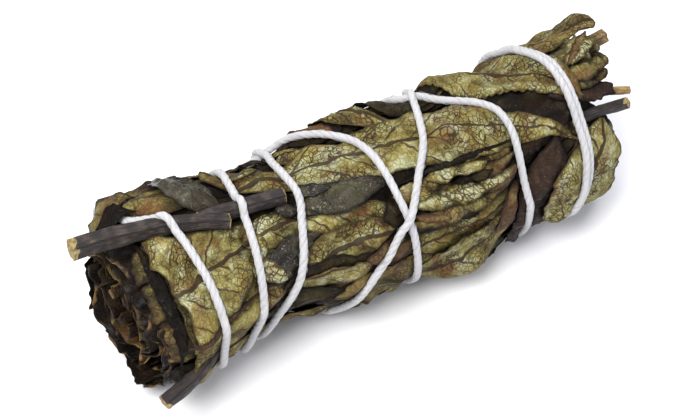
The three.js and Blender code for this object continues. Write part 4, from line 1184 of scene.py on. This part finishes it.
def warp_section(across, up, seed, amount):
    """Folds the cross-section smoothly, less towards its outside."""
    radius = np.hypot(across, up)
    fade = amount * (1 - smooth_step(11.5, 15.5, radius))
    shift_a = fade * fractal(across / 7.5, up / 7.5, seed, 2)
    shift_u = fade * fractal(across / 7.5, up / 7.5, seed + 50, 2)
    return across + shift_a, up + shift_u


def polar(angle, radius):
    """A place of the cross-section, across and up, from its angle and radius."""
    turn = np.radians(angle)
    return -radius * np.sin(turn), radius * np.cos(turn)


def layer_paths(rng):
    """Curves of the cross-section: arcs and hairpin folds on rings."""
    gap = LAYER_GAP
    paths = []
    ring = FIRST_RING
    while ring < SECTION_REACH:
        start = rng.uniform(0, 360)
        covered = 0
        while covered < 330:
            span = min(rng.uniform(70, 190), 355 - covered)
            count = max(int(np.radians(span) * ring / 0.5), 6)
            angles = np.linspace(start + covered, start + covered + span, count)
            folded = rng.random() < 0.35 and ring + gap < SECTION_REACH
            radii = np.full_like(angles, ring) + 0.18 * rng.uniform(-1, 1)
            if folded:
                turn = np.linspace(0, np.pi, 6)[1:-1]
                tip_angles = angles[-1] + np.degrees(np.sin(turn) * gap * 0.8 / ring)
                tip_radii = ring + gap * 0.8 * (1 - np.cos(turn)) / 2
                back = angles[::-1][: len(angles) * 3 // 4]
                angles = np.concatenate([angles, tip_angles, back])
                radii = np.concatenate([radii, tip_radii, np.full(len(back), ring + gap * 0.8)])
            paths.append(polar(angles, radii))
            covered += span + rng.uniform(8, 40)
        ring += gap * (1.75 if rng.random() < 0.25 else 1.0)
    return paths


def end_layer(rng, path, side, face, seed, number, longest, pointed):
    """One folded layer standing out of an end: its cross-section run out along the bundle."""
    across, up = path
    lengths = np.concatenate([[0], np.cumsum(np.hypot(np.diff(across), np.diff(up)))])
    out = rng.uniform(-2.5, longest)
    ragged = 1.5 * noise(lengths / 4.5, number, seed) + 0.35 * noise(lengths / 1.3, number, seed + 1)
    share = lengths / lengths[-1]
    tip = np.sin(np.pi * np.clip(share, 0.02, 0.98)) ** 0.6
    reach = face + (out * (tip if pointed else 1.0)) + ragged * (0.7 + 0.5 * tip)
    start = INNER_BODY_END - 1.5
    rows = int((reach.max() - start) / 0.55) + 2
    s = np.linspace(0, 1, rows)[:, None]
    x = start + s * (reach[None, :] - start)
    from_end = (1 - s) * (reach[None, :] - start)
    inward = np.hypot(across, up)
    flare = rng.uniform(-0.9, 0.5) * np.exp(-from_end / 2.5)
    flare = flare + 0.45 * fractal(lengths[None, :] / 4, x / 4, seed + number) * smooth_step(2, 9, x - start)
    grow = (inward[None, :] + flare) / np.maximum(inward[None, :], 0.8)
    inner_x = side * x
    y = axis_back(inner_x) + across[None, :] * grow
    z = np.maximum(axis_height(inner_x) + up[None, :] * grow, LOWEST_LAYER)
    points = np.stack([inner_x, y, z], axis=-1)
    edge = np.minimum(from_end, np.minimum(lengths, lengths[-1] - lengths)[None, :] + 0.2)
    thickness = 0.2 + 0.22 * smooth_step(0, 1.2, edge)
    where = np.stack(np.broadcast_arrays(x, lengths[None, :] + 0 * x, float(number * 3.1)), axis=-1)
    tone = rng.uniform(0.25, 0.75)
    look = np.stack([edge, np.ones_like(edge), np.full_like(edge, tone)], axis=-1)
    return shell(points, thickness, where, look)


def end_layers(side, seed, face, longest, pointed, voids):
    """One end's layers by colour, with room for the stems' ends and for holes, some with a rolled leaf."""
    rng = np.random.default_rng(seed)
    holes = []
    for item in STEMS:
        end = 0 if side < 0 else -1
        if item["x"][end] * side > 44 and item["radius"][end] < 16:
            a, u = polar(item["angle"][end], item["radius"][end])
            holes.append((a, u, item["thick"][end] + 0.25))
    rolls = []
    for angle, radius, size, rolled in voids:
        a, u = polar(angle, radius)
        holes.append((a, u, size))
        if rolled:
            rolls.append((a, u, size))
    groups = {"brown": [], "green": []}
    number = 0
    for path in layer_paths(rng):
        across, up = warp_section(*path, seed, 2.3)
        across, up = open_holes(across, up, holes)
        radius = np.hypot(across, up)
        squeeze = np.minimum(1, SECTION_EDGE / np.maximum(radius, 1e-6))
        colour = "green" if rng.random() < 0.3 else "brown"
        part = end_layer(rng, (across * squeeze, up * squeeze), side, face, seed, number, longest, pointed)
        groups[colour].append(part)
        number += 1
    for a, u, size in rolls:
        turns = np.linspace(0, 2.2 * 2 * np.pi, 60)
        spread = size * (0.25 + 0.7 * turns / turns[-1])
        path = (a + spread * np.cos(turns), u + spread * np.sin(turns))
        groups["green"].append(end_layer(rng, path, side, face + 1, seed, number, 3, False))
        number += 1
    return groups


INNER_COLOURS = {
    "brown": leaf_material(
        "sage_inner_brown",
        [(0.34, linear(10, 8, 7)), (0.5, linear(26, 20, 15)), (0.66, linear(52, 40, 26)), (0.85, OLIVE_DARK)],
        BROWN, BLACKISH, linear(112, 88, 54), (0.2, 0.5), 0.6, wet=0.04, rim_from=0.52, shine=0.08,
        second_tint=linear(50, 34, 20)
    ),
    "green": leaf_material(
        "sage_inner_green",
        [(0.34, linear(26, 21, 13)), (0.52, linear(50, 42, 24)), (0.7, OLIVE_DARK), (0.9, OLIVE)],
        REDDISH, BLACKISH, linear(132, 108, 62), (0.3, 0.6), 0.6, rim_from=0.48, shine=0.08,
        second_tint=linear(74, 62, 26)
    ),
}

# Holes between the layers of each end: angle, radius, size, and whether a rolled leaf lies in it
CUT_VOIDS = [(95, 6.5, 1.9, True), (60, 11.5, 1.7, False), (150, 8.5, 1.6, True), (215, 5, 1.5, False),
             (300, 9, 2.0, True), (20, 12, 1.5, False), (120, 12.8, 1.8, False), (330, 4, 1.4, True)]
TIP_VOIDS = [(40, 8, 1.6, True), (150, 7, 1.8, True), (250, 9, 2.0, False), (310, 7, 1.8, True),
             (95, 11, 1.6, False)]

ENDS = {
    "cut": dict(side=-1, seed=21, face=48.5, longest=5.0, pointed=False, voids=CUT_VOIDS),
    "tip": dict(side=1, seed=22, face=46.0, longest=11.0, pointed=True, voids=TIP_VOIDS),
}

add_piece("sage_inner_core", inner_core(), MATERIALS["dark"], "packed_inner_leaves")
for label, end in ENDS.items():
    for colour, parts in end_layers(**end).items():
        add_piece(f"sage_{label}_layers_{colour}", join(parts), INNER_COLOURS[colour])


# Stems
def stem_material(name, dark, middle, light, cut):
    g = Graph(name)
    along, around, kind = g.split(g.attribute("stem_place"))
    streak = g.vector(g.times(along, 0.22), g.times(around, 2.4), 0.0)
    lines = g.noise(streak, 1.6, 4.0, 0.62)
    blotch = g.noise(g.vector(along, around, 4.0), 0.5, 3.0)
    shade = g.scaled(blotch, 0.5, g.times(lines, 0.5))
    bark = g.ramp(shade, [(0.36, dark), (0.5, middle), (0.66, light)])
    rings = g.noise(g.vector(g.times(along, 3.0), around, 9.0), 1.2, 3.0)
    face = g.ramp(rings, [(0.3, linear(78, 54, 30)), (0.5, cut), (0.75, linear(170, 152, 106))])
    colour = g.mix(g.step(kind, 0.4, 0.6), bark, face)
    relief = g.plus(g.times(lines, 1.4), g.times(blotch, 0.4))
    normal = g.bump(relief, BARK_BUMP)
    return g.finish(Base_Color=colour, Roughness=0.62, Normal=normal, Specular_IOR_Level=0.4)


STEM_COLOURS = {
    "brown": stem_material(
        "stem_brown", linear(44, 32, 20), linear(84, 66, 38), linear(122, 102, 60), linear(104, 82, 48)
    ),
    "brown_end": stem_material(
        "stem_brown_end", linear(15, 12, 12), linear(36, 29, 27), linear(82, 70, 62), linear(138, 122, 76)
    ),
    "bark": stem_material(
        "stem_bark", linear(15, 12, 12), linear(38, 30, 30), linear(74, 62, 57), linear(138, 120, 78)
    ),
    "tan": stem_material(
        "stem_tan", linear(92, 70, 42), linear(134, 110, 68), linear(162, 138, 90), linear(150, 126, 80)
    ),
}


def stem_mesh(item, number):
    """A woody stem: ridged bark, a slight bow and ragged cut ends, hollow where the photo shows it."""
    path = place(item["x"], item["angle"], item["radius"])
    path[:, 2] = np.maximum(path[:, 2], item["thick"] + FLOOR_CLEARANCE)
    run, side_a, side_b = tube_frames(path)
    steps = lengths_along(path)
    around = np.linspace(0, 2 * np.pi, STEM_SIDES, endpoint=False)[None, :]
    ridges = 0.05 * np.sin(5 * around + number + steps[:, None] / 14)
    ridges = ridges + 0.08 * fractal(around * 1.6 + 9, steps[:, None] / 4, 300 + number)
    ridges = ridges + 0.06 * noise(around * 4.5, steps[:, None] / 2.2, 320 + number)
    buds = sum(0.16 * hump(steps, at, 1.1) for at in (9 + number, 24 + number, 37))
    buds = buds if item["rests"] else 0 * buds
    swollen = 1 + buds[:, None] * (0.4 + 0.6 * np.cos(around - number))
    radius = item["thick"][:, None] * (0.97 + ridges) * swollen
    rows = [rings_round(path, side_a, side_b, around, radius)]
    to_end = np.minimum(steps, steps[-1] - steps)[:, None]
    reach = np.where(steps < steps[-1] / 2, *item["chips"])[:, None] * CHIP_LENGTH + 0.01
    ragged = 0.9 * noise(around * 1.1, steps[:, None] / 3, 360 + number)
    chipped = smooth_step(1.0, 0.3, to_end / reach + ragged)
    worn = item["thick"]
    for from_end in (steps, steps[-1] - steps):
        worn = worn * (1 - END_WEAR * np.exp(-from_end / END_WEAR_REACH))
    kinds = [np.stack(np.broadcast_arrays(steps[:, None], around * worn.mean(), 0.8 * chipped), axis=-1)]

    def end_rings(index, way):
        """Ever smaller rings that close one end as a rounded, rough or hollow face."""
        depth = HOLLOW_DEPTH if item["hollow"] else 0.0
        rings, marks = [], []
        for share in (0.93, 0.8, 0.55, 0.3, 0.06):
            ragged = 0.16 * noise(around * 2.2, share * 4, 340 + number) * share
            proud = END_BULGE * worn[index] * (1 - share**2) - depth * smooth_step(0.78, 0.5, share)
            ring = path[index] + way * run[index] * (proud + ragged[..., None])[0]
            spread = radius[index] * share
            ring = ring + spread[:, None] * (
                side_a[index] * np.cos(around[0])[:, None] + side_b[index] * np.sin(around[0])[:, None]
            )
            rings.append(ring[None])
            bare = 1.0 if item["chips"][0 if way < 0 else 1] else 0.0
            marks.append(np.stack(np.broadcast_arrays(share * 2.0, around, bare), axis=-1))
        return rings, marks

    first, first_marks = end_rings(0, -1)
    last, last_marks = end_rings(-1, 1)
    points = np.concatenate(first[::-1] + rows + last)
    marks = np.concatenate(first_marks[::-1] + kinds + last_marks)
    count = len(points)
    faces = capped_tube_faces(count, STEM_SIDES)
    return points.reshape(-1, 3), faces, {"stem_place": marks.reshape(-1, 3)}


for number, item in enumerate(STEMS):
    name, colour = item["name"], item["colour"]
    add_piece("sage_stem_" + name, stem_mesh(item, number), STEM_COLOURS[colour], "stem_" + name)


# The string: three twisted plies, its knot and its loose fibres
def string_material():
    g = Graph("cotton_string")
    along, round_ply, groove = g.split(g.attribute("strand"))
    fibre = g.vector(g.times(along, 0.9), g.times(round_ply, 9.0), groove)
    threads = g.noise(fibre, 1.6, 3.0, 0.6)
    fluff = g.noise(g.vector(along, round_ply, groove), 2.4, 3.0, 0.6)
    whites = [(0.3, linear(170, 170, 172)), (0.55, linear(194, 194, 198)), (0.8, linear(208, 208, 212))]
    colour = g.ramp(threads, whites)
    # Painted shade: the grooves between the plies are painted greyer
    colour = g.mix(g.times(g.step(groove, 0.5, 1.0), 0.4), colour, linear(158, 154, 156))
    relief = g.plus(threads, g.times(fluff, 0.6))
    return g.finish(Base_Color=colour, Roughness=0.85, Normal=g.bump(relief, STRING_BUMP), Sheen_Weight=0.25)


def twisted_tube(path):
    """Three plies twisted round a path, as one closed surface with shader places."""
    run, side_a, side_b = tube_frames(path)
    steps = lengths_along(path)
    around = np.linspace(0, 2 * np.pi, STRING_SIDES, endpoint=False)[None, :]
    third = 2 * np.pi / 3
    from_ply = (around + third / 2) % third - third / 2
    reach = PLY_OFFSET * np.cos(from_ply)
    reach = reach + np.sqrt(np.clip(PLY_RADIUS**2 - (PLY_OFFSET * np.sin(from_ply)) ** 2, 0, None))
    reach = np.maximum(reach, PLY_FLOOR)
    pitch = PLY_PITCH * (1 + 0.06 * noise(steps / 30, 0.5, 7))
    twist = np.cumsum(np.gradient(steps) / pitch) * 2 * np.pi
    wobble = 1 + 0.05 * noise(steps[:, None] / 1.7, around * 1.2, 11)
    reach = reach * wobble
    phase = around + twist[:, None]
    rows = rings_round(path, side_a, side_b, phase, reach)
    # How deep each point lies in a groove, which the material paints as shade
    depth = 1 - (reach - PLY_FLOOR) / (STRING_RADIUS - PLY_FLOOR)
    strand = np.stack(np.broadcast_arrays(steps[:, None], from_ply + 0 * reach, depth), axis=-1)
    count = len(path)
    faces = capped_tube_faces(count, STRING_SIDES)
    return rows.reshape(-1, 3), faces, {"strand": strand.reshape(-1, 3)}


# The knot's tails as x, angle and rise over the leaves
TAIL_ROUTES = [
    [(-47.3, 270, 0.8), (-48.8, 262, 1.2), (-49.4, 250, 1.0), (-48.6, 238, 0.7), (-46.6, 230, 0.5)],
    [(-47.3, 272, 0.8), (-45.6, 279, 1.1), (-43.6, 282, 1.0), (-41.8, 279, 0.8), (-40.6, 273, 0.6)],
]


def knot_paths():
    """The knot at the back of the cut end, a threefold loop, and its two tails."""
    x, angle = np.array(KNOT_PLACE)[:, None]
    middle, further = (place(x, angle, string_radius[0] + KNOT_RISE + out)[0] for out in (0.0, 1.0))
    outward = further - middle
    sideways = np.cross(outward, [1.0, 0, 0])
    t = np.linspace(0, 2 * np.pi, 90)[:, None]
    loop = (np.sin(t) + 2 * np.sin(2 * t)) * np.array([1.0, 0, 0])
    loop = loop + (np.cos(t) - 2 * np.cos(2 * t)) * sideways - 1.1 * np.sin(3 * t) * outward
    paths = [middle + KNOT_SIZE * loop]
    for route in TAIL_ROUTES:
        x, angle, rise = np.array(route, float).T
        ground = sample(settled, x, angle)
        ground[0] = string_radius[0]
        paths.append(spline(place(x, angle, np.maximum(ground, ground[0] - 2.5) + rise), STRING_STEP))
    return paths


def loose_fibres(path):
    """Short fine fibres that stand off the string and lie back along it."""
    rng = np.random.default_rng(12)
    run, side_a, side_b = tube_frames(path)
    rings, marks, faces = [], [], []
    corner = np.arange(3)[None, :] * 2 * np.pi / 3
    for number in range(FIBRE_COUNT):
        count = int(rng.integers(4, 9))
        first = int(rng.integers(0, len(path) - count))
        at = first + np.arange(count)
        share = np.linspace(0, 1, count)
        turn = rng.uniform(0, 2 * np.pi) + rng.uniform(-1.2, 1.2) * share
        arch = rng.uniform(0.03, 0.24) * np.sin(np.pi * share ** rng.uniform(0.5, 1.4))
        rise = STRING_RADIUS - 0.05 + arch
        out = side_a[at] * np.cos(turn)[:, None] + side_b[at] * np.sin(turn)[:, None]
        middle = path[at] + out * rise[:, None]
        beside = np.cross(run[at], out)
        thin = FIBRE_RADIUS * (1 - 0.6 * share)[:, None]
        ring = rings_round(middle, out, beside, corner, thin)
        faces += grid_faces(count, 3, 3 * sum(len(done) for done in rings), closed=True)
        rings.append(ring)
        marks.append(np.full((count * 3, 3), 0.3))
    points = np.concatenate([ring.reshape(-1, 3) for ring in rings])
    return points, faces, {"strand": np.concatenate(marks)}


string_path = place(string_x, string_angle, string_radius)
string_path[:, 2] = np.maximum(string_path[:, 2], STRING_RADIUS)
cotton = string_material()
whole_string = join([twisted_tube(path) for path in [string_path] + knot_paths()])
for name, mesh_parts, node in (
    ("sage_string", whole_string, "cotton_string"), ("sage_string_fibres", loose_fibres(string_path), None)
):
    points = mesh_parts[0]
    points[:, 2] = np.maximum(points[:, 2], 0.0)
    add_piece(name, mesh_parts, cotton, node)


# Floor, light and camera
def make_floor():
    bpy.ops.mesh.primitive_plane_add(size=6.0, location=(0, 0, 0))
    floor = bpy.context.object
    floor.name = "floor"
    g = Graph("pale_floor")
    where = g.nodes.new("ShaderNodeTexCoord").outputs["Object"]
    shade = g.ramp(g.noise(where, 6.0, 2.0), [(0.3, linear(236, 236, 240)), (0.7, linear(240, 240, 244))])
    floor.data.materials.append(g.finish(Base_Color=shade, Roughness=0.9))


def view_vector(turn, height):
    """The direction from the bundle to a lamp or the camera."""
    turn, height = math.radians(turn), math.radians(height)
    return Vector((math.sin(turn) * math.cos(height), -math.cos(turn) * math.cos(height), math.sin(height)))


def make_light(name, turn, height, distance, size, power, colour):
    data = bpy.data.lights.new(name, "AREA")
    data.shape = "DISK"
    data.size = size
    data.energy = power
    data.color = colour
    lamp = bpy.data.objects.new(name, data)
    back = view_vector(turn, height)
    lamp.location = back * distance
    lamp.rotation_euler = back.to_track_quat("Z", "Y").to_euler()
    bpy.context.scene.collection.objects.link(lamp)


def make_camera():
    data = bpy.data.cameras.new("camera")
    data.lens = LENS
    data.sensor_width = 36.0
    data.shift_x = (PHOTO_MIDDLE[0] - TARGET_PIXEL[0]) / PHOTO_WIDTH
    data.shift_y = (TARGET_PIXEL[1] - PHOTO_MIDDLE[1]) / PHOTO_WIDTH
    data.clip_start = 0.01
    camera = bpy.data.objects.new("camera", data)
    back = view_vector(CAMERA_TURN, CAMERA_HEIGHT)
    camera.location = Vector(CAMERA_TARGET) * MM + back * CAMERA_DISTANCE * MM
    camera.rotation_euler = back.to_track_quat("Z", "Y").to_euler()
    bpy.context.scene.collection.objects.link(camera)
    bpy.context.scene.camera = camera


make_floor()
for name, settings in LAMPS.items():
    make_light(name, *settings)
make_camera()

world = bpy.data.worlds.new("pale_room")
world.use_nodes = True
background = world.node_tree.nodes["Background"]
background.inputs["Color"].default_value = ROOM_COLOUR
background.inputs["Strength"].default_value = ROOM_STRENGTH
bpy.context.scene.world = world
bpy.context.scene.view_settings.view_transform = "Standard"
